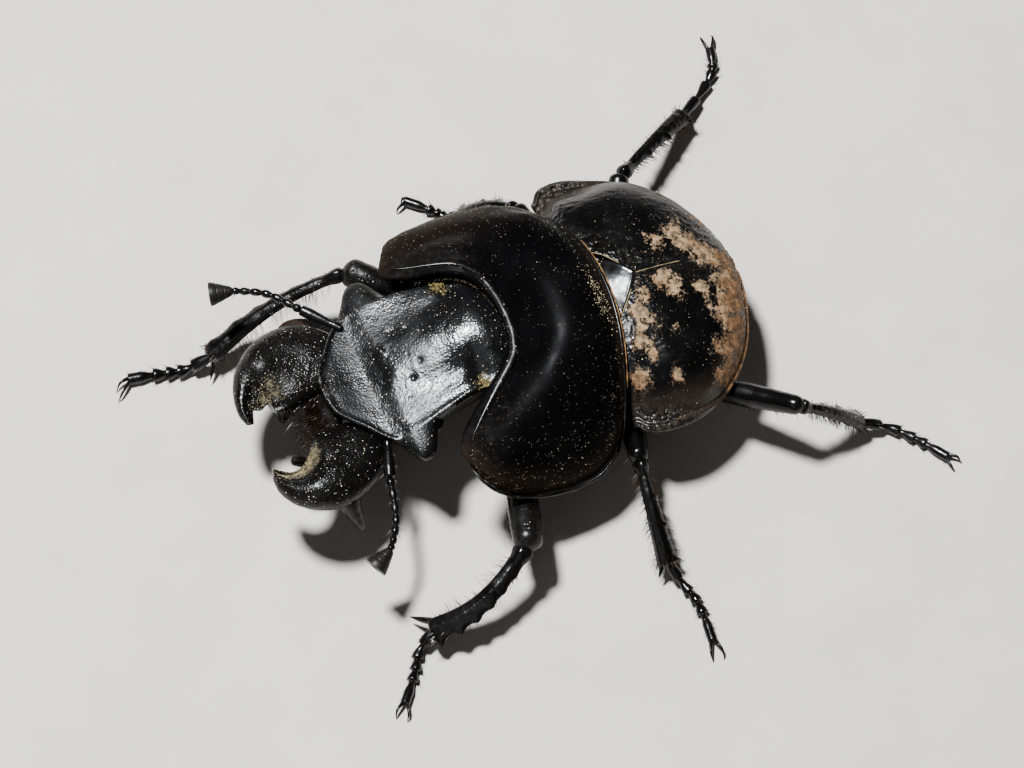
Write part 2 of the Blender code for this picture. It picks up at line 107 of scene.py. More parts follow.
def spot(x, y, cx, cy, rx, ry):
    """Smooth round bump of height 1 at a place."""
    return np.exp(-((x - cx) / rx) ** 2 - ((y - cy) / ry) ** 2)


def eased(count, ease=0.0):
    """0..1 in steps that grow finer towards both ends as ease goes to 1."""
    t = np.linspace(0, 1, count)
    return (1 - ease) * t + ease * (0.5 - 0.5 * np.cos(PI * t))


def roughen(points, size, seed=0.0, octaves=2):
    """Smooth noise of about -1..1 at each point, with features of the given size in mm."""
    values = [noise.fractal(Vector((x / size + seed, y / size, z / size)), 1.0, 2.0, octaves)
              for x, y, z in points.reshape(-1, 3)]
    return np.array(values).reshape(points.shape[:-1])


def unit(v):
    """Vectors scaled to length 1 along the last axis."""
    return v / np.maximum(np.linalg.norm(v, axis=-1, keepdims=True), 1e-9)


def swollen(points, centre, amount):
    """Points moved away from a centre, each by its own amount."""
    return points + unit(points - centre) * amount[..., None]


def grid_points(x, y, z):
    """Points from coordinates that broadcast together."""
    return np.stack(np.broadcast_arrays(x, y, z), -1)


# ---- meshes ----
def new_object(name, data):
    """Object holding a mesh, light or camera, linked into the scene."""
    item = bpy.data.objects.new(name, data)
    bpy.context.scene.collection.objects.link(item)
    return item


def add_piece(name, verts, faces, material, slot, replaced=None, uv=None, attributes=None, sharp=60):
    """One visible piece from points in mm; it rides on the body and may stand for a CAD node."""
    mesh = bpy.data.meshes.new(name)
    world = (np.asarray(verts, float) + SHIFT) * MM
    mesh.from_pydata(world.tolist(), [], [tuple(int(i) for i in f) for f in faces])
    for label, values in (attributes or {}).items():
        layer = mesh.attributes.new(label, "FLOAT", "POINT")
        layer.data.foreach_set("value", np.asarray(values, np.float32))
    if uv is not None:
        layer = mesh.uv_layers.new(name="OFBake")
        loops = np.empty(len(mesh.loops), np.int32)
        mesh.loops.foreach_get("vertex_index", loops)
        layer.data.foreach_set("uv", np.asarray(uv, np.float32)[loops].ravel())
    mesh.validate()
    if uv is None:
        bm = bmesh.new()
        bm.from_mesh(mesh)
        bmesh.ops.recalc_face_normals(bm, faces=bm.faces)
        bm.to_mesh(mesh)
        bm.free()
    mesh.shade_smooth()
    mesh.set_sharp_from_angle(angle=math.radians(sharp))
    mesh.materials.append(material)
    piece = new_object(name, mesh)
    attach(piece, "root")
    if replaced:
        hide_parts(replaced)


def grid_faces(rows, cols, wrap=False, start=0, flip=False):
    """Quads of a rows x cols block of points; wrap joins the last column to the first."""
    faces = []
    for r in range(rows - 1):
        for c in range(cols if wrap else cols - 1):
            d = (c + 1) % cols
            a = start + r * cols
            quad = (a + c, a + d, a + cols + d, a + cols + c)
            faces.append(quad[::-1] if flip else quad)
    return faces


def ring_faces(rows, cols):
    """Faces of a closed body of rings: its side and both end caps."""
    last = (rows - 1) * cols
    return grid_faces(rows, cols, wrap=True) + [tuple(range(cols)),
                                                tuple(reversed(range(last, last + cols)))]


def join(parts):
    """Points and faces of many (verts, faces) blocks as one."""
    verts, faces, base = [], [], 0
    for v, f in parts:
        verts.append(np.asarray(v, float))
        faces += [tuple(i + base for i in face) for face in f]
        base += len(v)
    return np.concatenate(verts), faces


def grid_normals(grid):
    """Unit normals of a rows x cols grid, pointing away from the middle of what it wraps."""
    normals = unit(np.cross(np.gradient(grid, axis=1), np.gradient(grid, axis=0)))
    away = np.sum(normals * (grid - grid.reshape(-1, 3).mean(axis=0)))
    return normals if away > 0 else -normals


def border(rows, cols):
    """Row and column indices once round the edge of a grid."""
    loop = [(0, c) for c in range(cols)] + [(r, cols - 1) for r in range(1, rows)]
    loop += [(rows - 1, c) for c in range(cols - 2, -1, -1)] + [(r, 0) for r in range(rows - 2, 0, -1)]
    return tuple(np.array(loop).T)


def sandwich(grid, inner, rings=()):
    """Closed solid between two grids of one shape, by way of rings of points round their border."""
    rows, cols = grid.shape[:2]
    loop = border(rows, cols)
    flat = loop[0] * cols + loop[1]
    n, base = len(flat), rows * cols
    faces = grid_faces(rows, cols) + grid_faces(rows, cols, start=base, flip=True)
    chain = [flat] + [2 * base + k * n + np.arange(n) for k in range(len(rings))] + [flat + base]
    for before, after in zip(chain, chain[1:]):
        for i in range(n):
            j = (i + 1) % n
            faces.append((before[i], after[i], after[j], before[j]))
    return np.concatenate([grid.reshape(-1, 3), inner.reshape(-1, 3), *rings]), faces


def closed_shell(grid, thick, normals=None):
    """Sheet of a given thickness under a grid, its border rolled over in a half circle."""
    rows, cols = grid.shape[:2]
    normals = grid_normals(grid) if normals is None else normals
    inner = grid - normals * thick
    loop = border(rows, cols)
    edge, low = grid[loop], inner[loop]
    inside = grid[np.clip(loop[0], 2, rows - 3), np.clip(loop[1], 2, cols - 3)]
    outward = unit(np.cross(np.roll(edge, -1, 0) - np.roll(edge, 1, 0), unit(edge - low)))
    outward *= np.sign(np.sum(outward * (edge - inside), axis=1, keepdims=True) + 1e-12)
    for _ in range(4):
        outward = unit(outward + 0.5 * (np.roll(outward, 1, 0) + np.roll(outward, -1, 0)))
    rings = []
    for k in range(1, EDGE_STEPS + 1):
        angle = PI * k / (EDGE_STEPS + 1)
        rings.append(edge + (low - edge) * (1 - math.cos(angle)) / 2
                     + outward * math.sin(angle) * thick / 2)
    return sandwich(grid, inner, rings)


def shell_values(**grids):
    """Point values of a closed shell from those of its outer grid; its inside has none."""
    out = {}
    for name, values in grids.items():
        flat = values.reshape(-1)
        out[name] = np.concatenate([flat, flat * 0] + [values[border(*values.shape)]] * EDGE_STEPS)
    return out


def profile(pairs, t, soft=9, **ends):
    """Smoothed broken line through (share, value) pairs; level at its ends unless told otherwise."""
    shares, values = np.array(pairs, float).T
    fine = np.linspace(0, 1, 401)
    line = np.interp(fine, shares, values)
    kernel = np.hanning(2 * soft + 1)
    padded = np.pad(line, soft, **(ends or {"mode": "edge"}))
    line = np.convolve(padded, kernel / kernel.sum(), mode="valid")
    return np.interp(t, fine, line)


def limb_steps(steps, cap=0.05):
    """Shares along a limb, crowded near both ends where the caps curve."""
    ends = cap * (1 - np.cos(np.linspace(0, PI / 2, 7)))
    middle = np.linspace(cap, 1 - cap, steps)[1:-1]
    return np.concatenate([ends, middle, 1 - ends[::-1]])


class Tube:
    """A limb: centre line, half widths and half heights, and a swelling round it."""

    def __init__(self, t, centre, wide, high, up=(0, 0, 1), sides=20, swell=None, cap=0.05, floor=False):
        self.t, self.centre, self.sides, self.swell, self.floor = t, centre, sides, swell, floor
        near = np.minimum(np.minimum(t, 1 - t) / cap, 1.0) if cap else np.ones(len(t))
        close = np.sqrt(np.maximum(1 - (1 - near) ** 2, 0.0004))
        self.wide, self.high = wide * close, high * close
        self.along = unit(np.gradient(centre, axis=0))
        self.side = unit(np.cross(self.along, np.array(up, float)))
        self.lift = unit(np.cross(self.side, self.along))

    def point(self, k, angle):
        """Surface point of ring k at an angle (0 at the side, a quarter turn at the top)."""
        angle = np.atleast_1d(angle)
        factor = 1.0 if self.swell is None else self.swell(self.t[k], angle)
        points = (self.centre[k] + np.outer(np.cos(angle) * self.wide[k] * factor, self.side[k])
                  + np.outer(np.sin(angle) * self.high[k] * factor, self.lift[k]))
        if self.floor:
            points[:, 2] = np.maximum(points[:, 2], 0.0)
        return points

    def mesh(self):
        """Points and faces of the closed limb."""
        angles = TURN * np.arange(self.sides) / self.sides
        rings = len(self.t)
        verts = np.concatenate([self.point(k, angles) for k in range(rings)])
        return verts, ring_faces(rings, self.sides)

    def root(self, t, angle):
        """Surface point, outward direction and limb direction at a share and an angle."""
        k = int(np.argmin(np.abs(self.t - t)))
        point = self.point(k, angle)[0]
        return point, unit(point - self.centre[k]), self.along[k]


def path_mesh(stations, steps, sides, cap, **more):
    """Points and faces of a tube through even (x, y, z, half width, half height) stations."""
    t = limb_steps(steps, cap)
    path = spline(stations, t)
    return Tube(t, path[:, :3], path[:, 3], path[:, 4], sides=sides, cap=cap, **more).mesh()


def ball(centre, radii, rings, sides):
    """Points and faces of an ellipsoid."""
    polar = np.linspace(0.03, PI - 0.03, rings)[:, None]
    turn = TURN * np.arange(sides) / sides
    sine = np.sin(polar)
    points = grid_points(sine * np.cos(turn), sine * np.sin(turn), np.cos(polar))
    return points.reshape(-1, 3) * radii + centre, ring_faces(rings, sides)


# ---- bristles and dust ----
BRISTLE_FACES = grid_faces(3, 3, wrap=True) + [(6, 7, 9), (7, 8, 9), (8, 6, 9), (2, 1, 0)]
GRAIN_POINTS = np.array(((1, 0, 0), (-1, 0, 0), (0, 1, 0), (0, -1, 0), (0, 0, 1), (0, 0, -1)), float)
GRAIN_FACES = [(0, 2, 4), (2, 1, 4), (1, 3, 4), (3, 0, 4), (2, 0, 5), (1, 2, 5), (3, 1, 5), (0, 3, 5)]
GRAIN_PATCH = [(0.9, 0.5), (0.1, 0.5), (0.5, 0.9), (0.5, 0.1), (0.5, 0.5), (0.3, 0.3)]
# Side in UV units of the map patch that each bristle or grain has to itself.
PATCH = 0.003


class Coat:
    """Collects bristles or grains, each with its own small patch of the OFBake map."""

    def __init__(self):
        self.parts, self.uvs = [], []

    def add(self, points, faces, uv, local):
        """One tuft: its points, faces, the root's place on the skin's unwrap and its patch."""
        self.parts.append((points, faces))
        self.uvs.append(np.asarray(uv) + (np.asarray(local) - 0.5) * PATCH)

    def bristle(self, root, direction, length, radius, uv, droop, lean=(0, 0, -1.0)):
        """A tapered, slightly curved hair with three sides and three lengths."""
        direction = unit(np.asarray(direction, float))
        side = unit(np.cross(direction, (0.31, 0.57, 0.76)))
        other = np.cross(direction, side)
        bend = unit(np.asarray(lean, float)) * droop
        points, local = [], []
        for far, thick in ((0.0, 1.0), (0.35, 0.85), (0.7, 0.55)):
            centre = root + direction * length * far + bend * length * far * far
            for i in range(3):
                angle = TURN * i / 3
                points.append(centre + (side * math.cos(angle) + other * math.sin(angle)) * radius * thick)
                local.append((i / 3, far))
        points.append(root + direction * length + bend * length)
        self.add(points, BRISTLE_FACES, uv, local + [(0.5, 1.0)])

    def grain(self, place, size, uv):
        """A crumb of dust: a lopsided eight-sided lump."""
        stretch = np.array([uniform(0.55, 1.0) for _ in range(6)])
        turn = Matrix.Rotation(uniform(0, 6.28), 3, Vector((random.random(), random.random(), 1)))
        points = place + (GRAIN_POINTS * stretch[:, None] * size) @ np.array(turn)
        self.add(points, GRAIN_FACES, uv, GRAIN_PATCH)

    def make(self, name, material, slot):
        """Join everything into one piece."""
        add_piece(name, *join(self.parts), material, slot, uv=np.concatenate(self.uvs), sharp=80)


# ---- materials ----
class Shader:
    """Short-hand for building one Principled material out of nodes."""

    def __init__(self, name, colour, roughness, **inputs):
        self.material = bpy.data.materials.new(name)
        self.material.use_nodes = True
        self.tree = self.material.node_tree
        self.main = self.tree.nodes["Principled BSDF"]
        settings = {"Base Color": (*colour, 1.0), "Roughness": roughness, **inputs}
        for key, value in settings.items():
            self.main.inputs[key.replace("_", " ")].default_value = value
        self.place = self.tree.nodes.new("ShaderNodeTexCoord").outputs["Object"]

    def link(self, **outputs):
        """Wire outputs to the shader's own sockets; return the finished material."""
        for socket, output in outputs.items():
            self.tree.links.new(output, self.main.inputs[socket.replace("_", " ")])
        return self.material

    def node(self, kind, links=None, **settings):
        """New node with properties, socket values and wires."""
        item = self.tree.nodes.new(kind)
        for key, value in settings.items():
            setattr(item, key, value)
        for key, value in (links or {}).items():
            if isinstance(value, bpy.types.NodeSocket):
                self.tree.links.new(value, item.inputs[key])
            else:
                item.inputs[key].default_value = value
        return item

    def noise(self, size, detail=3.0, rough=0.55, distortion=0.0):
        """Noise with features of the given size in mm."""
        return self.node("ShaderNodeTexNoise", {
            "Vector": self.place, "Scale": 1 / (size * MM), "Detail": detail, "Roughness": rough,
            "Distortion": distortion}).outputs["Fac"]

    def cells(self, size):
        """Voronoi cells of the given size in mm: distance and colour."""
        item = self.node("ShaderNodeTexVoronoi", {"Vector": self.place, "Scale": 1 / (size * MM)})
        return item.outputs["Distance"], item.outputs["Color"]

    def dents(self, size, depth):
        """Round pits of the given size in mm, or granules where the depth is negative."""
        distance, _ = self.cells(size)
        return self.ramp(distance, 0.0, 0.42) if depth > 0 else self.ramp(distance, 0.1, 0.55, 1.0, 0.0)

    def ramp(self, value, low, high, low_value=0.0, high_value=1.0):
        """Value mapped from low..high to low_value..high_value, clamped."""
        return self.node("ShaderNodeMapRange", {
            "Value": value, "From Min": low, "From Max": high, "To Min": low_value,
            "To Max": high_value}, interpolation_type="SMOOTHSTEP").outputs[0]

    def maths(self, operation, a, b):
        """Arithmetic on two values."""
        return self.node("ShaderNodeMath", {0: a, 1: b}, operation=operation).outputs[0]

    def times(self, a, b):
        """Product of two values."""
        return self.maths("MULTIPLY", a, b)

    def plus(self, a, b):
        """Sum of two values."""
        return self.maths("ADD", a, b)

    def mix(self, factor, a, b):
        """Blend of two colours."""
        a, b = ((*colour, 1.0) if isinstance(colour, tuple) else colour for colour in (a, b))
        return self.node("ShaderNodeMix", {0: factor, 6: a, 7: b}, data_type="RGBA").outputs[2]

    def attribute(self, name):
        """Painted value carried by the mesh's points."""
        return self.node("ShaderNodeAttribute", attribute_name=name).outputs["Fac"]

    def bump(self, height, depth, before=None):
        """Bump of the given depth in mm, stacked on an earlier one."""
        links = {"Height": height, "Distance": depth * MM, "Strength": 1.0}
        if before is not None:
            links["Normal"] = before
        return self.node("ShaderNodeBump", links).outputs[0]


# The first two colours are the shell's own dust and grime. The third is painted reflection: a brown sheen
# mixed into the base colour wherever a shell's brown field lies.
DUST, DIRT, SHEEN_BROWN = (0.8, 0.7, 0.54), (0.12, 0.1, 0.075), (0.042, 0.03, 0.022)
# Size in mm of the cells that each hold one dust speck.
SPECK = 0.105


def chitin(name, colour, roughness, grain, dust, level=0.5, pits=None, wrinkle=None, mud=None,
           brown=0.0, polish=False, coarse=0.0, dirt=0.5):
    """Black beetle cuticle: fine grain, pits, wrinkles, dust specks, dried mud and a painted brown sheen.

    grain, pits and wrinkle are sizes and depths in mm, and a negative depth makes granules.
    """
    s = Shader(name, colour, roughness, IOR=1.56, Specular_IOR_Level=level)
    normal = s.bump(s.noise(grain[0], 4.0), grain[1])
    if wrinkle:
        normal = s.bump(s.noise(wrinkle[0], 5.0, 0.6, distortion=1.2), wrinkle[1], normal)
    if pits:
        normal = s.bump(s.dents(*pits), abs(pits[1]), normal)
    rough = s.ramp(s.noise(1.3, 4.0), 0.35, 0.65, roughness - 0.08, roughness + 0.08)
    cloud = s.ramp(s.noise(2.2, 3.0), 0.4, 0.7)
    shade = s.mix(s.times(cloud, 0.6), colour, tuple(min(c * 1.8 + 0.001, 1) for c in colour))
    # Painted reflection: the brown field mixes a warm sheen into the base colour, as sandy ground would
    # reflect at grazing angles, and also roughens the surface.
    if brown:
        field = s.attribute("brown")
        shade = s.mix(s.times(field, brown), shade, SHEEN_BROWN)
        rough = s.plus(rough, s.times(field, 0.12))
    if coarse:
        field = s.attribute("coarse")
        dents = s.times(s.dents(0.2 if coarse > 0 else 0.13, coarse), field)
        normal = s.bump(dents, abs(coarse), normal)
        rough = s.plus(rough, s.times(field, 0.14))
        dirty = s.times(field, s.ramp(s.noise(0.25, 5.0), 0.45, 0.75, 0.0, dirt))
        shade = s.mix(dirty, shade, DIRT)
    if polish:
        rough = s.node("ShaderNodeMix", {0: s.attribute("polish"), 2: rough, 3: 0.23}).outputs[0]
    distance, tint = s.cells(SPECK)
    chance, fade, _ = s.node("ShaderNodeSeparateColor", {"Color": tint}).outputs
    thick = s.ramp(s.noise(1.1, 3.0), 0.35, 0.7, 0.72, 1.0)
    picked = s.ramp(s.times(chance, thick), 1 - dust - 0.05, 1 - dust)
    covered = s.times(picked, s.ramp(distance, 0.34, 0.2))
    shade = s.mix(s.times(covered, s.ramp(fade, 0.3, 1.05, 0.1, 1.0)), shade, DUST)
    rough = s.maths("MAXIMUM", rough, s.times(covered, 0.85))
    if mud:
        broken = s.plus(s.times(s.noise(0.7, 9.0, 0.75), 2.5), s.times(s.noise(0.14, 4.0, 0.65), 1.5))
        cover = s.ramp(s.plus(s.attribute("mud"), s.plus(broken, -2.06)), 0.46, 0.64)
        warm = s.plus(s.attribute("warm"), s.ramp(s.noise(0.5, 6.0, 0.65), 0.35, 0.65, -0.4, 0.4))
        thin = s.ramp(s.noise(0.33, 6.0, 0.7), 0.35, 0.62, 0.2, 0.9)
        shade = s.mix(s.times(cover, thin), shade, s.mix(s.ramp(warm, 0.0, 1.0), *mud))
        rough = s.maths("MAXIMUM", rough, s.times(cover, 0.8))
        normal = s.bump(s.times(cover, s.noise(0.16, 5.0)), 0.05, normal)
    return s.link(Base_Color=shade, Roughness=rough, Normal=normal)


def mottled(name, dark, pale, roughness=0.4, size=0.8):
    """Stiff bristles or sandy crumbs of several shades."""
    s = Shader(name, dark, roughness)
    return s.link(Base_Color=s.mix(s.noise(size, 2.0), dark, pale))


def eye_material():
    """Glossy black facets."""
    s = Shader("eye_facets", (0.004, 0.004, 0.005), 0.08, IOR=1.6)
    distance, _ = s.cells(0.045)
    return s.link(Normal=s.bump(s.ramp(distance, 0.0, 0.6, 1.0, 0.0), 0.006), Base_Color=s.mix(
        s.ramp(distance, 0.3, 0.6), (0.004, 0.004, 0.005), (0.012, 0.01, 0.009)))


def film_material(name, *colours):
    """Dried mud or dust packed into a seam."""
    s = Shader(name, colours[0], 0.85)
    return s.link(Base_Color=s.mix(s.ramp(s.noise(0.35, 5.0), 0.3, 0.7), *colours),
                  Normal=s.bump(s.noise(0.1, 4.0), 0.02))


BLACK = (0.004, 0.0038, 0.0042)
# The brown strengths below set how much painted reflection, a brown sheen, each shell's base colour takes.
SHIELD = chitin("shield_chitin", BLACK, 0.37, (0.05, 0.002), 0.03, 0.022, brown=0.7, coarse=0.01, dirt=0.12)
BEAD = chitin("margin_chitin", BLACK, 0.3, (0.08, 0.008), 0.3, 0.6)
WING = chitin("wing_case_chitin", BLACK, 0.24, (0.09, 0.008), 0.07, 0.45, wrinkle=(0.45, 0.02),
              mud=((0.46, 0.32, 0.19), (0.29, 0.15, 0.065)), brown=0.8, coarse=0.05, dirt=0.8)
SCUTUM = chitin("scutellum_chitin", BLACK, 0.3, (0.08, 0.004), 0.05, 1.0, wrinkle=(0.4, 0.01))
HEAD = chitin("head_chitin", (0.006, 0.006, 0.0065), 0.33, (0.11, 0.008), 0.3, 0.65, pits=(0.12, -0.007),
              polish=True, coarse=-0.015, dirt=0.0)
JAW = chitin("jaw_chitin", (0.006, 0.0056, 0.0052), 0.31, (0.1, 0.011), 0.34, 0.32, pits=(0.12, -0.011),
             mud=((0.3, 0.24, 0.12), (0.1, 0.095, 0.07)))
TUSK = chitin("tusk_chitin", (0.006, 0.005, 0.0045), 0.34, (0.1, 0.012), 0.1, 0.25)
LIMB = chitin("limb_chitin", (0.005, 0.0046, 0.0046), 0.24, (0.1, 0.01), 0.06, 0.42, coarse=0.03, dirt=0.1)
CLUB = chitin("club_chitin", (0.012, 0.0095, 0.008), 0.42, (0.07, 0.006), 0.02)
BELLY = chitin("belly_chitin", (0.007, 0.0065, 0.006), 0.4, (0.14, 0.015), 0.04, pits=(0.3, 0.03))
MOUTH = chitin("mouth_chitin", (0.004, 0.0025, 0.002), 0.55, (0.12, 0.02), 0.08, 0.2)
RIM = chitin("rim_chitin", (0.022, 0.012, 0.008), 0.4, (0.1, 0.01), 0.1)
HAIR = mottled("bristle", (0.022, 0.011, 0.006), (0.06, 0.028, 0.012))
PALE_HAIR = mottled("pale_hair", (0.08, 0.045, 0.02), (0.22, 0.14, 0.06))
TUFT_HAIR = mottled("tuft_hair", (0.35, 0.27, 0.1), (0.6, 0.5, 0.26), 0.7)
MOUTH_HAIR = mottled("mouth_hair", (0.007, 0.0035, 0.0025), (0.03, 0.016, 0.009), 0.3)
GRAIN = mottled("dust_grain", (0.5, 0.37, 0.2), (0.85, 0.76, 0.56), 0.8, 0.5)
EYE = eye_material()
SEAM_DUST = film_material("seam_dust", (0.42, 0.25, 0.11), (0.1, 0.05, 0.025))
PALE_DUST = film_material("pale_dust", (0.5, 0.4, 0.24), (0.25, 0.19, 0.1))


# ---- pronotum ----
# Height of the margin and of the middle line at even steps from front to rear.
SHIELD_HEIGHTS = ((5.45, 7.05), (4.3, 8.0), (3.7, 8.55), (3.4, 8.65), (3.5, 8.35), (4.1, 7.45))
# Half width as a share of the widest, against the share of the way from front to rear.
SHIELD_SHARE = ((0, 0.775), (0.04, 0.86), (0.1, 0.925), (0.2, 0.97), (0.4, 1.0), (0.58, 1.0),
                (0.74, 0.975), (0.88, 0.9), (1.0, 0.76))
# How far the front margin runs forward of its middle, against the distance from the middle line.
BAY_RIGHT = ((0, 0.0), (1.0, 0.04), (1.8, 0.17), (2.6, 0.42), (3.2, 0.85), (3.6, 1.45), (3.9, 2.5),
             (4.15, 3.6), (4.5, 4.15), (4.9, 4.28), (5.3, 4.15), (5.7, 3.75))
BAY_LEFT = ((0, 0.0), (0.8, 0.08), (1.6, 0.35), (2.1, 0.85), (2.6, 1.5), (3.2, 2.25), (3.8, 3.0),
            (4.4, 3.7), (5.0, 4.1), (5.35, 4.2), (5.7, 3.95))
SHIELD_ROWS, SHIELD_COLS = 130, 230


def shield_grid(u, v, inset=0.0):
    """Dome of the pronotum: u is -1..1 across it, v 0..1 front to rear."""
    margin_z, middle_z = spline(SHIELD_HEIGHTS, v).T[:, :, None]
    share = profile(SHIELD_SHARE, v, 14, mode="reflect", reflect_type="odd")[:, None]
    sine, cosine = np.sin(u * PI / 2)[None, :], np.abs(np.cos(u * PI / 2))[None, :]
    bays = []
    for pairs in (BAY_RIGHT, BAY_LEFT):
        ends = [(place / BAY_RIGHT[-1][0], drop) for place, drop in pairs]
        bays.append(profile(ends, np.abs(sine), 16))
    front = PRONOTUM_FRONT_Y + 0.1 - np.where(sine < 0, *bays)
    rear = PRONOTUM_REAR_Y - 1.3 * sine * sine
    return grid_points((PRONOTUM_HALF_WIDTH * share - inset) * sine, front + (rear - front) * v[:, None],
                       margin_z + (middle_z - inset - margin_z) * cosine ** 0.9)


def border_distances(grid):
    """Distance in mm along the sheet to its first row, last row, first column and last column."""
    down = np.cumsum(np.linalg.norm(np.diff(grid, axis=0), axis=2), axis=0)
    across = np.cumsum(np.linalg.norm(np.diff(grid, axis=1), axis=2), axis=1)
    first = np.vstack([np.zeros((1, grid.shape[1])), down])
    left = np.hstack([np.zeros((grid.shape[0], 1)), across])
    return first, first[-1] - first, left, left[:, -1:] - left


def make_pronotum():
    """The great domed shield with its beaded margins."""
    grid = shield_grid(2 * eased(SHIELD_COLS, 0.35) - 1, eased(SHIELD_ROWS, 0.5))
    normals = grid_normals(grid)
    front, rear, left, right = border_distances(grid)
    side, x = np.minimum(left, right), grid[..., 0]
    middle = 1 - 0.8 * smoothstep(2.6, 4.2, np.abs(x))
    corner = smoothstep(2.6, 4.6, np.abs(x)) * smoothstep(3.2, 0.6, front)
    lift = -0.05 * bell(front, 0.42, 0.08) * middle + 0.02 * bell(front, 0.56, 0.06) * middle
    lift -= 0.07 * bell(side, 0.36, 0.2) + 0.02 * bell(rear, 0.16, 0.06)
    lift += 0.014 * roughen(grid, 2.2) + corner * 0.02 * roughen(grid, 0.35, 3.0)
    # Painted reflection: the brown field paints a brown sheen near the side and rear margins and on the far
    # slope.
    brown = np.clip(smoothstep(2.4, 0.3, side) + 0.7 * smoothstep(0.9, 0.1, rear)
                    + 0.5 * smoothstep(-3.5, -6.5, x), 0, 1)
    grid = grid + normals * lift[..., None]
    add_piece("pronotum_shield", *closed_shell(grid, SHIELD_THICK, normals), SHIELD, "shell", "pronotum",
              attributes=shell_values(brown=brown, coarse=corner))


def make_shield_bead():
    """Rounded glossy bead round the shield, thick in the middle of the front margin."""
    u = np.linspace(-0.62, 0.62, 90)
    front = shield_grid(u, np.array([0.028]))[0]
    size = (0.006 + 0.2 * smoothstep(0.58, 0.22, np.abs(u))) * (1 + 0.1 * roughen(front, 0.5))
    parts = [Tube(np.linspace(0, 1, 90), front, size, size * 0.85, sides=18, cap=0.02).mesh()]
    v, u = np.linspace(0.0, 0.97, 60), np.linspace(0.97, -0.97, 90)
    sides = shield_grid(np.array([-1.0, 1.0]), v)
    path = np.concatenate([sides[:, 1], shield_grid(u, np.array([0.99]))[0], sides[::-1, 0]])
    outward = np.cross(unit(np.gradient(path, axis=0)), UP)
    side = smoothstep(5.6, 6.9, np.abs(path[:, 0]))
    path = path + 0.14 * side[:, None] * outward
    size = (0.05 + 0.04 * side) * (1 + 0.25 * roughen(path, 0.4))
    parts.append(Tube(np.linspace(0, 1, len(path)), path, size, size, sides=12, cap=0.01).mesh())
    add_piece("shield_bead", *join(parts), BEAD, "shell")


def make_prothorax():
    """Fore breast under the shield, with its two coxal hollows left shallow."""
    u, v = np.linspace(-1, 1, 90), 0.14 + 0.66 * np.linspace(0, 1, 50)
    top = shield_grid(u, v, BODY_INSET)
    margin = spline(SHIELD_HEIGHTS, v)[:, :1]
    belly = BELLY_Z + (margin - 0.4 - BELLY_Z) * smoothstep(0.3, 1.0, np.abs(np.sin(u * PI / 2)))
    x, y = top[..., 0], top[..., 1]
    low = grid_points(x, y, belly)
    keel = 0.35 * bell(x, 0.0, 0.35) * smoothstep(-6.6, -5.0, y)
    hollow = 0.7 * spot(np.abs(x), y, 2.3, -4.7, 1.2, 0.75)
    low[..., 2] += hollow - keel + 0.03 * roughen(low, 0.6)
    low[..., 2] = np.minimum(low[..., 2], top[..., 2] - 0.2)
    add_piece("fore_breast", *sandwich(top, low), BELLY, "body", "prothorax")


# ---- wing cases ----
ELYTRA_REACH = (0.93, 0.93, 0.945, 0.975, 1.005, 1.025, 1.015, 0.98)
# Reach and height shares from the dome's top to its rim, plain and with the flat shoulder lobe.
DOME_LINE = ((0, 1), (0.195, 0.98), (0.383, 0.927), (0.556, 0.839), (0.707, 0.72),
             (0.831, 0.572), (0.924, 0.402), (0.975, 0.2), (1.0, 0.03))
LOBE_LINE = ((0, 1), (0.19, 0.975), (0.37, 0.915), (0.53, 0.82), (0.68, 0.68),
             (0.79, 0.49), (0.86, 0.29), (0.92, 0.19), (1.0, 0.17))
WING_TURNS, WING_TILTS = 170, 140
SCUTELLUM_HALF, SCUTELLUM_FRONT, SCUTELLUM_LONG = 1.85, 0.95, 1.5
# Dried mud on the wing cases: x, y, radius and strength of each smear.
MUD_SPOTS = (
    (-1.7, 5.0, 0.55, 1.0), (-1.35, 4.0, 0.5, 1.0), (-0.9, 5.4, 0.6, 1.0), (-0.1, 6.2, 0.75, 1.0),
    (-0.5, 5.8, 0.6, 0.9), (1.3, 6.7, 0.9, 1.0), (0.65, 3.5, 0.5, 1.0), (1.25, 4.0, 0.55, 1.0),
    (1.5, 5.2, 0.5, 0.95), (2.4, 6.2, 0.75, 1.0), (3.3, 6.2, 0.9, 1.0), (4.2, 6.0, 0.8, 1.0),
    (5.0, 5.4, 0.75, 0.95), (4.4, 5.0, 0.6, 0.8), (5.5, 4.7, 0.6, 0.75), (2.0, 6.9, 0.7, 1.0),
    (1.3, 2.3, 0.6, 0.8), (1.9, 1.9, 0.6, 0.85), (2.5, 2.0, 0.7, 0.85), (3.2, 1.5, 0.6, 0.8),
    (4.7, 0.9, 0.5, 0.95), (5.1, 2.5, 0.35, 0.95), (3.9, 1.8, 0.4, 0.8), (3.2, 3.1, 0.3, 0.7),
    (2.3, 5.2, 0.4, 0.65), (6.4, 2.4, 0.5, 0.4),
    (-2.6, 7.0, 0.8, 0.8), (-4.2, 5.8, 0.6, 0.6),
    (0.0, 7.5, 0.9, 0.9), (2.6, 7.3, 0.9, 0.9))


def wing_reach(turn):
    """Distance from the base of the wing cases to their outline, at a share of the turn round it."""
    return ELYTRA_HALF_WIDTH * spline(ELYTRA_REACH, turn.reshape(-1))[:, 0].reshape(turn.shape)


def wing_height(turn, share):
    """Height above the floor at a share of the wing cases' rise over their margin."""
    margin = BASE_Z + 0.25 * smoothstep(0.45, 1.0, turn)
    return margin + (BASE_Z + ELYTRA_RISE - margin) * share


def wing_place(x, y, inset=0.0):
    """Turn round the wing cases' outline at a place, and its share of the way out to it."""
    turn = np.clip(np.arctan2(np.abs(x), y - BASE_Y) / SHOULDER_ANGLE, 0, 1)
    return turn, np.clip(np.hypot(x, y - BASE_Y) / (wing_reach(turn) - inset), 0, 1)


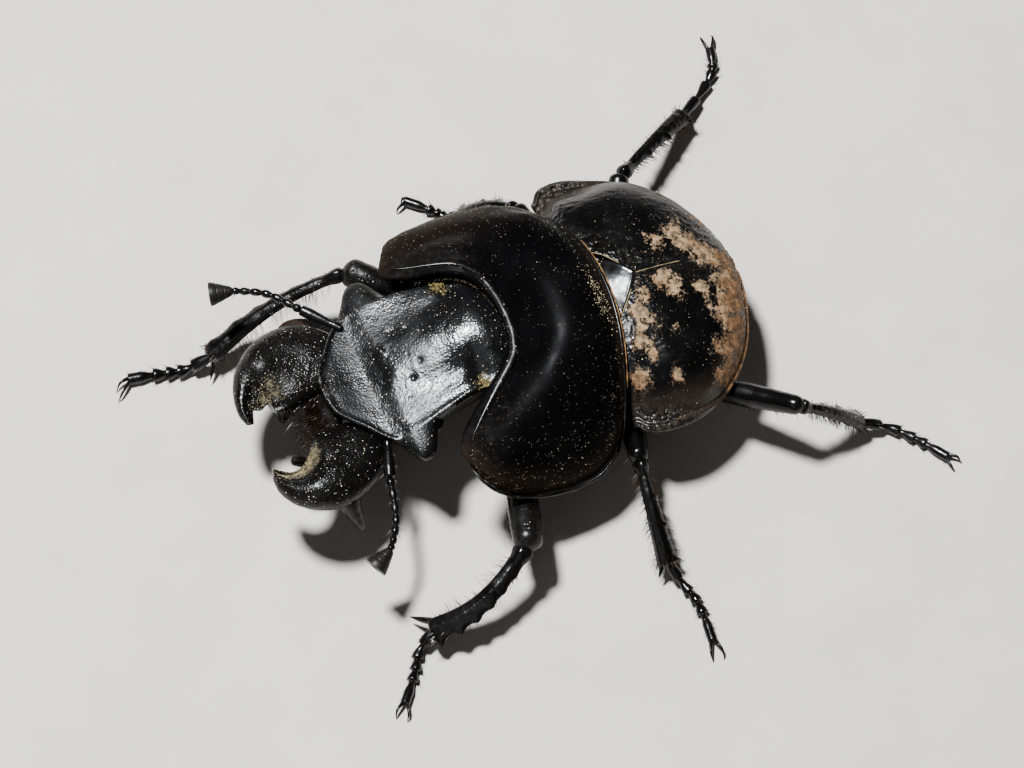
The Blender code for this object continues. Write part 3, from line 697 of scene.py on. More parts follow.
def wing_grid(turn, tilt, fuller=0.0):
    """Left wing case: turn 0 suture to 1 shoulder, tilt 0 top of the dome to 1 rim."""
    turn = turn[:, None]
    reach = wing_reach(turn) * (1 - 0.05 * smoothstep(0.93, 1.0, turn) ** 2)
    reach = reach * (1 + fuller * bell(turn, 0.95, 0.12))
    lobe = smoothstep(0.6, 0.88, turn)
    out, height = (plain + (lobed - plain) * lobe for plain, lobed in
                   zip(spline(DOME_LINE, tilt).T, spline(LOBE_LINE, tilt).T))
    angle = SHOULDER_ANGLE * turn
    return grid_points(reach * out * np.sin(angle), BASE_Y + reach * out * np.cos(angle),
                       wing_height(turn, height))


def scutellum_half(share):
    """Half width of the scutellum at a share of its length."""
    return SCUTELLUM_HALF * (1 - share) * (1 + 0.25 * np.clip(share, 0, 1))


def scutellum_depth(x, y):
    """How far inside the scutellum's outline a point lies, in mm (negative outside)."""
    half = scutellum_half(np.clip((y - SCUTELLUM_FRONT) / SCUTELLUM_LONG, -1, 1.2))
    return (half - np.abs(x)) * SCUTELLUM_LONG / math.hypot(SCUTELLUM_LONG, SCUTELLUM_HALF)


def make_elytron(letter, side):
    """One wrinkled, muddy wing case; side is +1 for the left one, -1 for the right."""
    left = side > 0
    turn = eased(WING_TURNS, 0.3)
    grid = wing_grid(turn, 0.015 + 0.985 * eased(WING_TILTS, 0.25), fuller=0.0 if left else 0.06)
    normals = grid_normals(grid) * (side, 1, 1)
    suture, _, _, rim = border_distances(grid)
    grid, turn = grid * (side, 1, 1), turn[:, None]
    lobe = smoothstep(0.66, 0.88, turn) * smoothstep(1.4, 0.6, rim)
    well = scutellum_depth(grid[..., 0], grid[..., 1])
    wrinkled = 0.25 + 0.75 * smoothstep(3.6, 1.2, -well)
    folds = np.abs(roughen(grid * (2.6, 0.8, 2.6), 0.8, 9.0, 3))
    lift = 0.02 * roughen(grid, 1.7, 5.0) + (0.014 * roughen(grid, 0.3, 2.0) - 0.045 * folds) * wrinkled
    lift += 0.07 * bell(rim, 0.09, 0.09) - 0.06 * bell(rim, 0.3, 0.1)
    lift += lobe * 0.016 * roughen(grid, 0.16, 7.0)
    lift -= 0.06 * bell(suture, 0.0, 0.12)
    lift -= 0.3 * smoothstep(-0.06, 0.06, well)
    lift += 0.02 * smoothstep(1.8, 0.5, -well) * roughen(grid, 0.17, 4.0)
    grid = grid + normals * lift[..., None] + (side * 0.02, 0, 0)
    x, y = grid[..., 0], grid[..., 1]
    mud = (0.8 if left else 0.45) * smoothstep(1.7, 0.3, rim) * smoothstep(0.62, 0.4, turn)
    for mx, my, radius, strength in MUD_SPOTS:
        mud = np.maximum(mud, strength * np.exp(-((x - mx) ** 2 + (y - my) ** 2) / (1.5 * radius ** 2)))
    base = smoothstep(1.5, 0.4, -well) * smoothstep(-0.1, 0.1, -well)
    # The brown value paints a reflected sheen towards the rim, weaker on the shoulder lobe.
    values = shell_values(brown=smoothstep(2.4, 0.6, rim) * (1 - 0.8 * lobe), mud=mud,
                          warm=0.15 + 0.85 * smoothstep(3.2, 1.0, rim),
                          coarse=np.maximum(lobe * (0.7 if left else 1.0), 0.2 * base))
    add_piece("wing_case_" + letter, *closed_shell(grid, WING_THICK, normals), WING, "shell",
              "elytron_" + letter, attributes=values)


def dome_height(x, y):
    """Height of the wing cases' plain dome at a place."""
    turn, share = wing_place(x, y)
    return wing_height(turn, np.interp(share, *np.array(DOME_LINE, float).T))


def make_scutellum():
    """Smooth shield plate set in the notch between the wing cases."""
    share = eased(50, 0.4)[:, None]
    x, y = np.broadcast_arrays((scutellum_half(share) + 0.04) * np.linspace(-1, 1, 61),
                               SCUTELLUM_FRONT + 0.02 + (SCUTELLUM_LONG - 0.1) * share)
    z = dome_height(x * 0, np.maximum(y, 1.45)) - 0.5 * (x / 1.8) ** 2 - 0.3 * smoothstep(2.3, 0.9, y)
    grid = grid_points(x, y, z + 0.1 + 0.02 * bell(scutellum_depth(x, y), 0.08, 0.06))
    grid[..., 2] += 0.012 * roughen(grid, 0.5)
    add_piece("scutellum_plate", *closed_shell(grid, 0.3, UP), SCUTUM, "shell", "scutellum")


def seam_strip(name, points, wide, high, material):
    """Thin line of packed dust lying in a seam."""
    t = np.linspace(0, 1, 90)
    centre = spline(points, t)
    jitter = 1 + 0.7 * roughen(centre, 0.3, 4.0)
    strip = Tube(t, centre, wide * jitter, high * jitter, sides=8, cap=0.04)
    add_piece(name, *strip.mesh(), material, "shell")


def make_seams():
    """Packed dust along the suture, round the scutellum and in the joint of the waist."""
    y = np.linspace(2.45, 6.6, 12)[:7]
    seam_strip("suture_dust", grid_points(0 * y, y, dome_height(0 * y, y) - 0.05), 0.02, 0.035, PALE_DUST)
    share = np.linspace(0.02, 1.0, 8)
    half, y = scutellum_half(share) + 0.07, SCUTELLUM_FRONT + SCUTELLUM_LONG * share
    z = dome_height(0 * y, np.maximum(y, 1.45))
    z += -0.1 * (half / 1.8) ** 2 - 0.16 * smoothstep(1.5, 0.9, y) - 0.03
    for letter, side in SIDES:
        seam_strip("scutellum_dust_" + letter, grid_points(side * half, y, z), 0.024, 0.03, PALE_DUST)
    edge = shield_grid(np.linspace(-0.3, 0.66, 24), np.array([1.0]))[0] + (0, 0.09, -0.05)
    seam_strip("waist_dust", edge, 0.028, 0.045, SEAM_DUST)


# ---- hind breast and belly ----
def outline_width(y):
    """Half width of the wing cases' outline, less their thickness, at a place along the body."""
    turn = np.linspace(0, 1, 200)
    reach, angle = wing_reach(turn) - BODY_INSET, SHOULDER_ANGLE * turn
    xs, ys = reach * np.sin(angle), BASE_Y + reach * np.cos(angle)
    return np.interp(y, ys[::-1], xs[::-1])


def belly_grid(y0, y1, rows):
    """Underside bowl between two places along the body."""
    y = y0 + (y1 - y0) * eased(rows, 0.3)[:, None]
    x, y = np.broadcast_arrays(outline_width(y) * np.sin(np.linspace(-1, 1, 120) * PI / 2), y)
    _, share = wing_place(x, y, BODY_INSET)
    return grid_points(x, y, BELLY_Z + (BASE_Z - 0.15 - BELLY_Z) * (1 - (1 - share ** 2) ** 0.9))


def make_hind_body():
    """Hind breast plates and the ringed belly."""
    grid = belly_grid(0.35, WAIST_Y - 0.04, 60)
    x, y = np.abs(grid[..., 0]), grid[..., 1]
    lift = 0.18 * bell(x, 0.0, 0.8) - 0.12 * bell(x, 0.0, 0.05) - 0.5 * spot(x, y, 2.3, 0.85, 1.2, 0.7)
    lift += 0.03 * roughen(grid, 0.5)
    add_piece("hind_breast", *closed_shell(grid - UP * lift[..., None], PLATE_THICK, -UP), BELLY, "body",
              "metathorax")
    grid = belly_grid(WAIST_Y + 0.04, BASE_Y + ELYTRA_HALF_WIDTH * 0.93 - 0.66, 110)
    x, y = grid[..., 0], grid[..., 1]
    ring = (y - WAIST_Y + 0.05 * x * x * 0.35) / 0.82 % 1.0
    lift = 0.07 * ring - 0.06 * bell(ring, 0.0, 0.06) - 0.06 * bell(ring, 1.0, 0.06)
    lift += 0.02 * roughen(grid, 0.4, 3.0)
    add_piece("belly_rings", *closed_shell(grid - UP * lift[..., None], PLATE_THICK, -UP), BELLY, "body",
              "abdomen")


# ---- head ----
# y, middle x, half width, edge height, crest height and underside height; neck to front rim.
HEAD_ROWS = (
    (-4.1, -0.15, 1.9, 6.0, 6.75, 4.4), (-5.0, -0.42, 2.6, 6.15, 7.2, 3.6),
    (-6.0, -0.48, 2.88, 6.15, 7.05, 3.1), (-7.0, -0.52, 3.1, 6.08, 6.82, 2.9),
    (-8.0, -0.48, 3.3, 5.98, 6.53, 2.8), (-9.0, -0.4, 3.44, 5.83, 6.19, 2.9),
    (-9.7, -0.34, 3.46, 5.68, 5.92, 3.1), (-10.48, -0.3, 3.4, 5.47, 5.53, 3.4),
    (-10.66, -0.34, 3.32, 5.44, 5.46, 3.55), (-11.0, -0.44, 3.12, 5.44, 5.45, 3.8),
    (-11.55, -0.5, 2.5, 5.5, 5.5, 4.3), (-12.15, -0.36, 1.76, 5.62, 5.62, 4.8),
    (-12.6, -0.3, 1.18, 5.73, 5.73, 5.0), (-12.78, -0.3, 0.45, 5.75, 5.75, 5.1))
# Where the crown steps down to the clypeus: y against the distance from the middle line.
CROWN_EDGE = ((0, -9.55), (0.7, -9.72), (1.0, -9.91))
# Bumps and hollows of the head: height, x, y, and radii along x and y.
HEAD_SPOTS = (
    (0.16, -1.2, -9.66, 0.26, 0.2), (-0.36, 1.55, -5.8, 0.75, 0.55), (-0.3, -2.72, -5.6, 0.6, 0.4),
    (-0.16, -2.3, -6.7, 0.55, 0.7), (-0.16, 1.2, -6.7, 0.55, 0.7), (-0.16, -2.4, -8.3, 0.9, 1.4),
    (-0.1, 1.2, -8.4, 0.8, 1.3), (0.04, -0.5, -5.9, 0.9, 0.6), (-0.07, 0.13, -8.2, 0.15, 0.15),
    (-0.07, 0.72, -8.75, 0.15, 0.15), (-0.07, -1.75, -8.2, 0.15, 0.15), (-0.07, -1.95, -8.9, 0.15, 0.15),
    (-0.03, -0.4, -11.4, 1.7, 0.45))
# Cheek lobes in front of the eyes: side, y, reach outward and half length; and their height.
CHEEK_LOBES = ((1, -9.42, 1.42, 0.78), (-1, -9.45, 1.6, 1.0))
CHEEK_Z = 5.02
EYE_OUT, EYE_PLACE, EYE_RADII = 3.22, (-8.72, 5.2), (0.5, 0.58, 0.48)
HEAD_STEPS, HEAD_ACROSS, HEAD_UNDER = 300, 200, 70


def head_relief(x, y, s, rim):
    """Height in mm of everything that stands out of or sinks into the head's plain crown."""
    run = smoothstep(-4.8, -6.2, y) * smoothstep(-10.4, -8.6, y) * (0.2 + 0.8 * smoothstep(-0.3, 0.3, s))
    side = 1 - np.abs(s)
    carina = 0.07 * bell(side, 0.03, 0.05) - 0.04 * bell(side, 0.17, 0.1)
    wobble = 0.06 * np.sin(2.3 * x + 0.7) + 0.04 * np.sin(5.1 * x)
    ahead = profile(CROWN_EDGE, np.abs(x - HEAD_MIDDLE_X), 4) - y + wobble
    high = carina * run + 0.02 * bell(ahead, -0.1, 0.3) - 0.06 * smoothstep(-0.25, 0.5, ahead)
    for height, *place in HEAD_SPOTS:
        high += height * spot(x, y, *place)
    return high + smoothstep(-10.2, -11.0, y) * (0.13 * bell(rim, 0.07, 0.09) - 0.03 * bell(rim, 0.35, 0.2))


def make_head():
    """Leathery head capsule with its ridges, pits, cheek lobes and upturned clypeus rim."""
    y, middle, half, edge, crest, low = spline(HEAD_ROWS, eased(HEAD_STEPS, 0.35)).T[..., None]
    outline = np.hstack([np.concatenate([middle + half, (middle - half)[::-1]]),
                         np.concatenate([y, y[::-1]])])[::3]
    half = np.maximum(half, 0.05)
    across = np.linspace(-1, 1, HEAD_ACROSS)
    s = 0.45 * np.sin(across * PI / 2) + 0.55 * across
    x, y = np.broadcast_arrays(middle + half * s, y)
    rim = np.full(x.shape, 9.0)
    for px, py in outline[len(outline) // 6: -len(outline) // 6]:
        rim = np.minimum(rim, np.hypot(x - px, y - py))
    power = (1.35 + 0.45 * smoothstep(-7.8, -6.0, y)) / 2
    crown = edge + (crest - edge) * (1 - (s * s + 0.01) ** power)
    top = grid_points(x, y, crown + head_relief(x, y, s, rim))
    leather = (roughen(top, 0.8, 1.0) * 0.014 + roughen(top, 0.3, 5.0) * 0.007
               + roughen(top, 0.12, 8.0, 1) * 0.005) * (1 - 0.25 * smoothstep(-9.8, -10.8, y))
    top = top + grid_normals(top) * leather[..., None]

    turn = np.linspace(0, PI, HEAD_UNDER + 2)[1:-1]
    sine, bulge = np.sin(turn), np.sign(np.cos(turn)) * np.abs(np.cos(turn)) ** 0.5
    ux = middle + half * bulge * (1 - 0.06 * smoothstep(0, 0.4, sine))
    uy, uz = y[:, :1], edge - (edge - low) * sine ** 0.8
    for side, cy, reach, wide in CHEEK_LOBES:
        lobe = np.exp(-(np.abs(uy - cy) / wide) ** 2.8 - (np.abs(uz - CHEEK_Z) / 0.58) ** 4)
        ux = ux + side * reach * lobe * smoothstep(0.0, 0.6, side * bulge)
    under = grid_points(ux, uy, uz)
    under = swollen(under, grid_points(middle, uy, 4.8), roughen(under, 0.16, 4.0) * 0.014)

    ring = np.concatenate([top, under], axis=1)
    shine = np.clip(1.2 * spot(x, y, -0.3, -6.1, 1.7, 1.1) + 0.2 * spot(x, y, 1.9, -9.0, 0.9, 1.8), 0, 1)
    patchy = 0.6 + 0.35 * np.sin(3.1 * x + 1.7 * y) * np.sin(2.3 * y - 1.9 * x + 1.0)
    granular = smoothstep(-9.9, -10.7, y) * patchy + 0.5 * spot(x, y, -2.6, -8.6, 1.4, 2.0)
    granular = np.clip(granular + 0.45 * spot(x, y, 2.0, -9.3, 1.2, 1.2), 0, 1)
    shine, granular = (np.pad(value, ((0, 0), (0, HEAD_UNDER))).reshape(-1) for value in (shine, granular))
    add_piece("head_capsule", ring.reshape(-1, 3), ring_faces(*ring.shape[:2]), HEAD, "head", "head",
              attributes={"polish": shine, "coarse": granular})
    return top


def make_eyes():
    """Bulging faceted eyes, each behind its cheek lobe."""
    for letter, side in SIDES:
        centre = (HEAD_MIDDLE_X + side * EYE_OUT, *EYE_PLACE)
        add_piece("eye_ball_" + letter, *ball(centre, EYE_RADII, 40, 56), EYE, "eye", "eye_" + letter)


# ---- jaws ----
# Outline of each jaw from above: outer edge and biting edge, root to tip, as (x, y).
JAW_OUTER = {
    "r": ((-3.3, -10.9), (-4.3, -11.6), (-4.75, -12.8), (-4.65, -14.1), (-4.15, -15.2),
          (-3.3, -16.05), (-2.3, -16.5), (-1.35, -16.64), (-0.72, -16.48)),
    "l": ((2.6, -10.9), (3.7, -11.5), (4.45, -12.5), (4.85, -13.7), (4.72, -14.8),
          (4.15, -15.7), (3.35, -16.25), (2.6, -16.38), (1.95, -16.2))}
JAW_INNER = {
    "r": ((-1.2, -11.2), (-0.9, -12.2), (-0.75, -13.2), (-0.65, -14.2), (-0.72, -14.95),
          (-1.3, -15.12), (-1.12, -15.55), (-1.35, -15.85), (-0.64, -16.12)),
    "l": ((0.6, -11.3), (0.8, -12.4), (0.95, -13.4), (1.35, -14.0), (2.0, -14.5),
          (2.4, -14.95), (2.45, -15.4), (2.2, -15.8), (1.93, -16.12))}
# Middle height and half thickness of a jaw from root to tip.
JAW_LIFT = ((4.1, 0.6), (4.3, 0.82), (4.42, 0.94), (4.56, 0.98), (4.66, 0.88), (4.66, 0.64),
            (4.64, 0.46), (4.6, 0.34), (4.56, 0.18))
# Middle of the dusty ledge on each jaw, as (x, y), and its number of crumbs.
JAW_DUST = {"l": (2.35, -15.1, 420), "r": (-1.7, -15.0, 300)}
# The left jaw's tusk from root to tip: x, y, z, half width and half height.
TUSK_LINE = ((3.5, -13.35, 4.35, 1.0, 0.62), (4.05, -13.4, 3.85, 0.95, 0.6),
             (4.5, -13.35, 3.3, 0.72, 0.45), (4.85, -13.22, 2.75, 0.5, 0.32),
             (5.05, -13.15, 2.25, 0.28, 0.2), (5.12, -13.12, 2.05, 0.1, 0.1))
JAW_STEPS, JAW_AROUND = 110, 88


def make_mandible(letter, side):
    """Crescent jaw with a raised outer ridge, a dusty inner basin and its tusk."""
    t = eased(JAW_STEPS, 0.3)
    outer, inner = (spline(edge[letter], t).T[..., None] for edge in (JAW_OUTER, JAW_INNER))
    middle, thick = spline(JAW_LIFT, t).T[..., None]
    along, turn = t[:, None], TURN * np.arange(JAW_AROUND) / JAW_AROUND
    w, sine = (1 - np.cos(turn)) / 2, np.sin(turn)
    x, y = outer + (inner - outer) * w
    if side < 0:
        ledge, basin = spot(x, y, -1.6, -15.0, 0.85, 1.1), spot(x, y, -1.5, -14.95, 0.8, 1.0)
        hump = spot(x, y, -2.5, -14.85, 0.85, 0.65) - 0.6 * spot(x, y, -2.2, -13.5, 1.0, 0.8)
    else:
        ledge = basin = smoothstep(0.6, 0.74, w) * smoothstep(0.3, 0.45, along)
        hump = -0.4 * spot(x, y, 2.0, -12.9, 0.8, 0.7)
    upper = smoothstep(0.0, 0.5, sine)
    ridge = bell(w, 0.24, 0.16) * bell(along, 0.6, 0.3)
    sunk = smoothstep(0.36, 0.62, w) * smoothstep(0.28, 0.5, along)
    block = grid_points(x, y, middle + thick * np.sign(sine) * np.abs(sine) ** 0.85
                        + upper * (0.1 * ridge - 0.22 * sunk - 0.2 * basin + 0.2 * hump))
    grit = roughen(block, 0.4, 6.0) * 0.018 + roughen(block, 0.13, 2.0, 1) * 0.008
    block = swollen(block, block.mean(axis=1, keepdims=True),
                    grit * smoothstep(0.0, 0.05, along) * smoothstep(1.0, 0.93, along))
    dust = ((0.95 if side > 0 else 0.66) * ledge * upper).reshape(-1)
    add_piece("jaw_" + letter, block.reshape(-1, 3), ring_faces(*x.shape), JAW, "jaw",
              "mandible_" + letter, attributes={"mud": dust, "warm": 0.5 + 0 * dust})
    shift = 0.0 if side > 0 else 0.25
    stations = [(side * (px - shift), *rest) for px, *rest in TUSK_LINE]
    verts, faces = path_mesh(stations, 50, 28, 0.06, up=(0, 1, 0))
    verts = swollen(verts, verts.mean(axis=0), roughen(verts, 0.3) * 0.02)
    add_piece("jaw_tusk_" + letter, verts, faces, TUSK, "jaw")
    return block[:, 1:JAW_AROUND // 2]


def make_jaw_flange():
    """Thin brown blade behind the right jaw's outer edge."""
    x, y = spline(((-3.35, -10.85), (-4.25, -11.35), (-4.85, -12.2), (-4.95, -13.0), (-4.5, -13.7)),
                  np.linspace(0, 1, 60)).T
    share = np.linspace(0, 1, 8)[:, None]
    grid = grid_points(x + 0.55 * share, y - 0.1 * share, 4.9 - 0.25 * (1 - share))
    add_piece("jaw_flange_r", *closed_shell(grid, 0.09), RIM, "jaw")


# ---- mouth and feelers ----
PALPS = {
    "maxillary_palp_l": ((1.3, -11.6, 3.0), (1.7, -12.9, 2.8), (1.7, -14.0, 3.2), (1.4, -15.1, 3.7)),
    "maxillary_palp_r": ((-1.5, -11.6, 3.0), (-1.8, -12.9, 2.7), (-1.6, -13.9, 2.8), (-1.0, -14.8, 3.1)),
    "labial_palp_l": ((0.5, -11.6, 3.0), (0.7, -12.5, 2.6), (0.6, -13.3, 2.5)),
    "labial_palp_r": ((-0.6, -11.6, 3.0), (-0.8, -12.5, 2.5), (-0.7, -13.3, 2.4))}
# Feelers: root, elbow, bend of the stalk, base of the club and its flat end.
ANTENNAE = {
    "l": ((2.85, -10.9, 4.85), (4.55, -11.45, 4.75), (6.4, -11.9, 4.4), (7.5, -12.55, 4.05),
          (8.0, -13.55, 3.8)),
    "r": ((-3.6, -11.1, 5.45), (-4.9, -12.25, 5.55), (-6.25, -13.3, 5.4), (-7.1, -14.6, 5.2),
          (-7.4, -15.7, 5.1))}
# Share of the club's steps at which its rim lies.
CLUB_RIM = 0.86


def make_mouth():
    """Upper lip and the jointed palps."""
    t, s = np.linspace(0, 1, 40)[:, None], np.linspace(-1, 1, 44)
    half = profile(((0, 0.8), (0.5, 1.0), (0.85, 0.85), (1, 0.35)), t)
    notch = 0.35 * bell(s, 0.0, 0.25) * smoothstep(0.4, 1.0, t)
    grid = grid_points(-0.05 + 0.2 * t + half * s, -12.5 - 1.35 * t + notch, 4.95 - 0.75 * t - 0.3 * s * s)
    grid[..., 2] += roughen(grid, 0.3) * 0.03
    add_piece("upper_lip", *closed_shell(grid, PLATE_THICK), MOUTH, "mouthpart", "labrum")
    t = limb_steps(64)
    for name, points in PALPS.items():
        local = (t * (len(points) - 1)) % 1.0
        size = 0.2 + 0.09 * np.sin(PI * local) ** 0.5 - 0.05 * t
        palp = Tube(t, spline(points, t), size, size, sides=18)
        add_piece(name + "_joints", *palp.mesh(), MOUTH, "mouthpart", name)


def tile(row, share, angle):
    """Place on the coat's unwrap: one strip per joint, along it and round it."""
    return (0.03 + 0.94 * share, (row + 0.1 + 0.8 * ((angle / TURN) % 1.0)) / 8)


def make_antenna(letter, coat):
    """Thick first joint, stalk of small beads and the nested cone of the club."""
    root, elbow, bend, club, end = np.array(ANTENNAE[letter])
    t = limb_steps(50, 0.06)
    size = profile(((0, 0.16), (0.2, 0.2), (0.3, 0.17), (0.45, 0.21), (0.75, 0.27), (1, 0.25)), t, 6)
    scape = Tube(t, root + (elbow - root) * (t[:, None] * 1.28 - 0.33), size, size, sides=24)
    add_piece("feeler_base_" + letter, *scape.mesh(), LIMB, "limb", "antenna_scape_" + letter)
    beads = 7
    t = np.linspace(0, 1, beads * 14 + 1)
    centre = spline((elbow + (root - elbow) * 0.06, bend, club + (end - club) * 0.06), t)
    size = 0.125 + 0.075 * np.sin(PI * ((t * beads) % 1.0) ** 1.25) ** 0.8 - 0.02 * t
    stalk = Tube(t, centre, size, size, cap=0.02)
    add_piece("feeler_beads_" + letter, *stalk.mesh(), LIMB, "limb", "antenna_stalk_" + letter)
    # The club widens to its rim at CLUB_RIM of the steps; the rest close its slightly hollow end.
    axis, t = end - club, np.linspace(0, 1, 90)[:, None]
    inward = smoothstep(CLUB_RIM, 1.0, t)
    reach = profile(((0, 0.0), (0.02, 0.1), (0.1, 0.22), (0.4, 0.38), (0.72, 0.54), (0.82, 0.57),
                     (0.86, 0.55), (0.9, 0.5)), t, 4)
    reach = reach - 0.025 * bell(t, 0.34, 0.012) - 0.025 * bell(t, 0.6, 0.012)
    reach = np.where(t > CLUB_RIM, 0.55 * (1 - inward) + 0.01, reach)[:, 0]
    cup = Tube(t[:, 0], club + axis * (0.0001 + t), reach, reach * 0.92, sides=36, cap=0)
    dish = 0.07 * inward - 0.05 * bell(inward, 0.5, 0.15)
    cup.centre = club + axis * (np.minimum(t / CLUB_RIM, 1.0) - dish)
    add_piece("feeler_club_" + letter, *cup.mesh(), CLUB, "limb", "antenna_club_" + letter)
    for row, limb, count, ends, lean, lengths in ((0, stalk, 46, (0.05, 0.98), 0.9, (0.14, 0.34)),
                                                  (1, scape, 24, (0.1, 0.95), 0.8, (0.15, 0.4))):
        for _ in range(count):
            share, angle = uniform(*ends), uniform(0, TURN)
            point, out, along = limb.root(share, angle)
            coat.bristle(point, out + lean * along, uniform(*lengths), 0.009, tile(row, share, angle), 0.1)


# ---- legs ----
# Coxa's centre, hip, knee, ankle, sideways bow of the shin, path of the foot and tip of the claws.
LEGS = {
    "fore_l": ((2.2, -4.7, 2.4), (3.3, -4.9, 2.1), (9.35, -6.6, 3.4), (10.65, -12.0, 1.0), (0.7, -0.1, 0.0),
               ((11.1, -12.7, 0.42), (11.85, -13.2, 0.3), (12.6, -13.75, 0.28), (13.3, -14.3, 0.3)),
               (14.0, -14.75, 0.1)),
    "fore_r": ((-2.2, -4.7, 2.4), (-3.1, -5.3, 2.5), (-6.85, -9.1, 3.7), (-6.4, -16.4, 1.05),
               (-0.45, 0.0, 0.15),
               ((-6.55, -17.45, 0.42), (-6.75, -18.3, 0.3), (-7.0, -19.3, 0.28), (-7.15, -20.15, 0.3)),
               (-6.5, -21.0, 0.1)),
    "mid_l": ((2.3, 0.85, 2.4), (3.3, 0.7, 2.0), (7.15, -0.25, 3.4), (11.7, -0.65, 1.0), (0.1, -0.05, 0.2),
              ((12.6, -0.25, 0.42), (13.5, 0.0, 0.3), (14.6, 0.0, 0.28), (15.7, -0.1, 0.3)),
              (16.75, -0.2, 0.1)),
    "mid_r": ((-2.3, 0.85, 2.4), (-3.3, 0.6, 2.0), (-7.0, -0.6, 3.6), (-8.95, -2.7, 1.1), (-0.15, 0.1, 0.3),
              ((-9.55, -3.2, 0.42), (-9.95, -3.5, 0.3), (-10.55, -4.0, 0.28), (-11.2, -4.7, 0.3)),
              (-10.95, -5.1, 0.1)),
    "hind_l": ((2.3, 2.4, 2.4), (3.2, 3.0, 1.85), (7.8, 7.35, 4.2), (8.2, 10.45, 1.0), (0.05, 0.1, 0.15),
               ((8.7, 11.7, 0.42), (9.55, 12.55, 0.3), (10.35, 13.15, 0.28), (11.1, 13.65, 0.3)),
               (11.75, 13.95, 0.1)),
    "hind_r": ((-2.3, 2.4, 2.4), (-3.2, 2.7, 1.85), (-6.9, 4.55, 3.3), (-10.1, 9.2, 1.0), (-0.1, 0.2, 0.15),
               ((-11.25, 10.6, 0.42), (-12.1, 11.5, 0.3), (-12.75, 11.8, 0.28), (-13.4, 11.95, 0.3)),
               (-14.4, 12.1, 0.1))}
# Both ends of the big spur on each fore shin.
FORE_SPURS = {"fore_l": ((10.3, -11.7, 1.15), (9.4, -12.5, 0.55)),
              "fore_r": ((-6.7, -15.7, 1.2), (-5.6, -16.6, 0.4))}
# Widths of the shin at shares along it, for the digging fore leg and for the others.
FORE_SHIN = ((0, 0.5), (0.05, 0.56), (0.12, 0.42), (0.3, 0.44), (0.7, 0.58), (0.93, 0.66), (1, 0.6))
SLIM_SHIN = ((0, 0.34), (0.06, 0.42), (0.14, 0.27), (0.4, 0.33), (0.85, 0.46), (0.97, 0.5), (1, 0.42))
# Bristles of the fore shins and of the others: count, shares along, side, lengths, radius and lean.
FORE_BRISTLES = ((120, (0.12, 0.97), "inner", (0.45, 1.0), 0.012, 0.35),
                 (70, (0.1, 0.98), "outer", (0.18, 0.4), 0.014, 0.8),
                 (60, (0.1, 0.98), "top", (0.1, 0.25), 0.01, 1.1))
SLIM_BRISTLES = ((110, (0.1, 0.98), "inner", (0.3, 0.62), 0.015, 0.8),
                 (110, (0.1, 0.98), "outer", (0.3, 0.6), 0.016, 0.8),
                 (55, (0.12, 0.98), "top", (0.15, 0.42), 0.011, 0.9))
# Ends of the foot's five joints as shares of its length.
FOOT_JOINTS = np.array((0, 0.19, 0.36, 0.52, 0.67, 1.0))


def fringe(coat, limb, row, count, shares, angles, lengths, radius=0.014, lean=0.9, droop=0.1):
    """Scatter bristles over a stretch of a limb between two angles, leaning to its far end."""
    for _ in range(count):
        share, angle = uniform(*shares), uniform(*angles)
        point, out, along = limb.root(share, angle)
        aim = out + along * uniform(0.6, 1.3) * lean
        aim = aim + 0.15 * np.array((gauss(0, 1), gauss(0, 1), gauss(0, 1)))
        coat.bristle(point - out * 0.01, aim, uniform(*lengths), radius * uniform(0.7, 1.1),
                     tile(row, share, angle), droop)


def make_coxa(name, shoulder):
    """Barrel-shaped first joint set in the breast."""
    verts, faces = ball(shoulder, (1.25, 0.7, 0.8), 30, 40)
    verts = swollen(verts, shoulder, roughen(verts, 0.5) * 0.025)
    add_piece("hip_joint_" + name, verts, faces, BELLY, "limb", "coxa_" + name)


def make_femur(name, hip, knee, coat):
    """Spindle thigh with its small trochanter and the rounded knee."""
    fore = name.startswith("fore")
    t = limb_steps(70, 0.07)
    centre = hip + (knee - hip) * (-0.04 + 1.09 * t)[:, None]
    thick, *far = (0.78, 0.98, 0.98, 0.92, 0.8) if fore else (0.62, 0.98, 0.86, 0.8, 0.76)
    size = thick * profile(((0, 0.35), (0.1, 0.52), (0.32, 0.9), *zip((0.58, 0.8, 0.92, 1), far)), t)

    def swell(share, angles):
        return 1 - 0.1 * smoothstep(0.2, 1.0, -np.sin(angles)) * smoothstep(0.5, 0.95, share)

    limb = Tube(t, centre, size * 0.96, size, sides=32, swell=swell, cap=0.07)
    verts, faces = limb.mesh()
    coarse = np.repeat(smoothstep(0.6, 0.85, t) * fore, 32)
    verts = swollen(verts, np.repeat(centre, 32, axis=0),
                    roughen(verts, 0.5) * 0.012 + coarse * roughen(verts, 0.2) * 0.015)
    trochanter = ball(hip + (knee - hip) * 0.03, (0.5, 0.42, 0.38), 16, 24)
    verts, faces = join([(verts, faces), trochanter])
    coarse = np.pad(coarse, (0, len(verts) - len(coarse)))
    add_piece("thigh_" + name, verts, faces, LIMB, "limb", "femur_" + name, attributes={"coarse": coarse})
    fringe(coat, limb, 0, 46, (0.25, 0.95), (PI * 1.15, PI * 1.85), (0.25, 0.6))
    fringe(coat, limb, 0, 26, (0.3, 0.98), (PI * -0.15, PI * 1.15), (0.12, 0.3), 0.01)


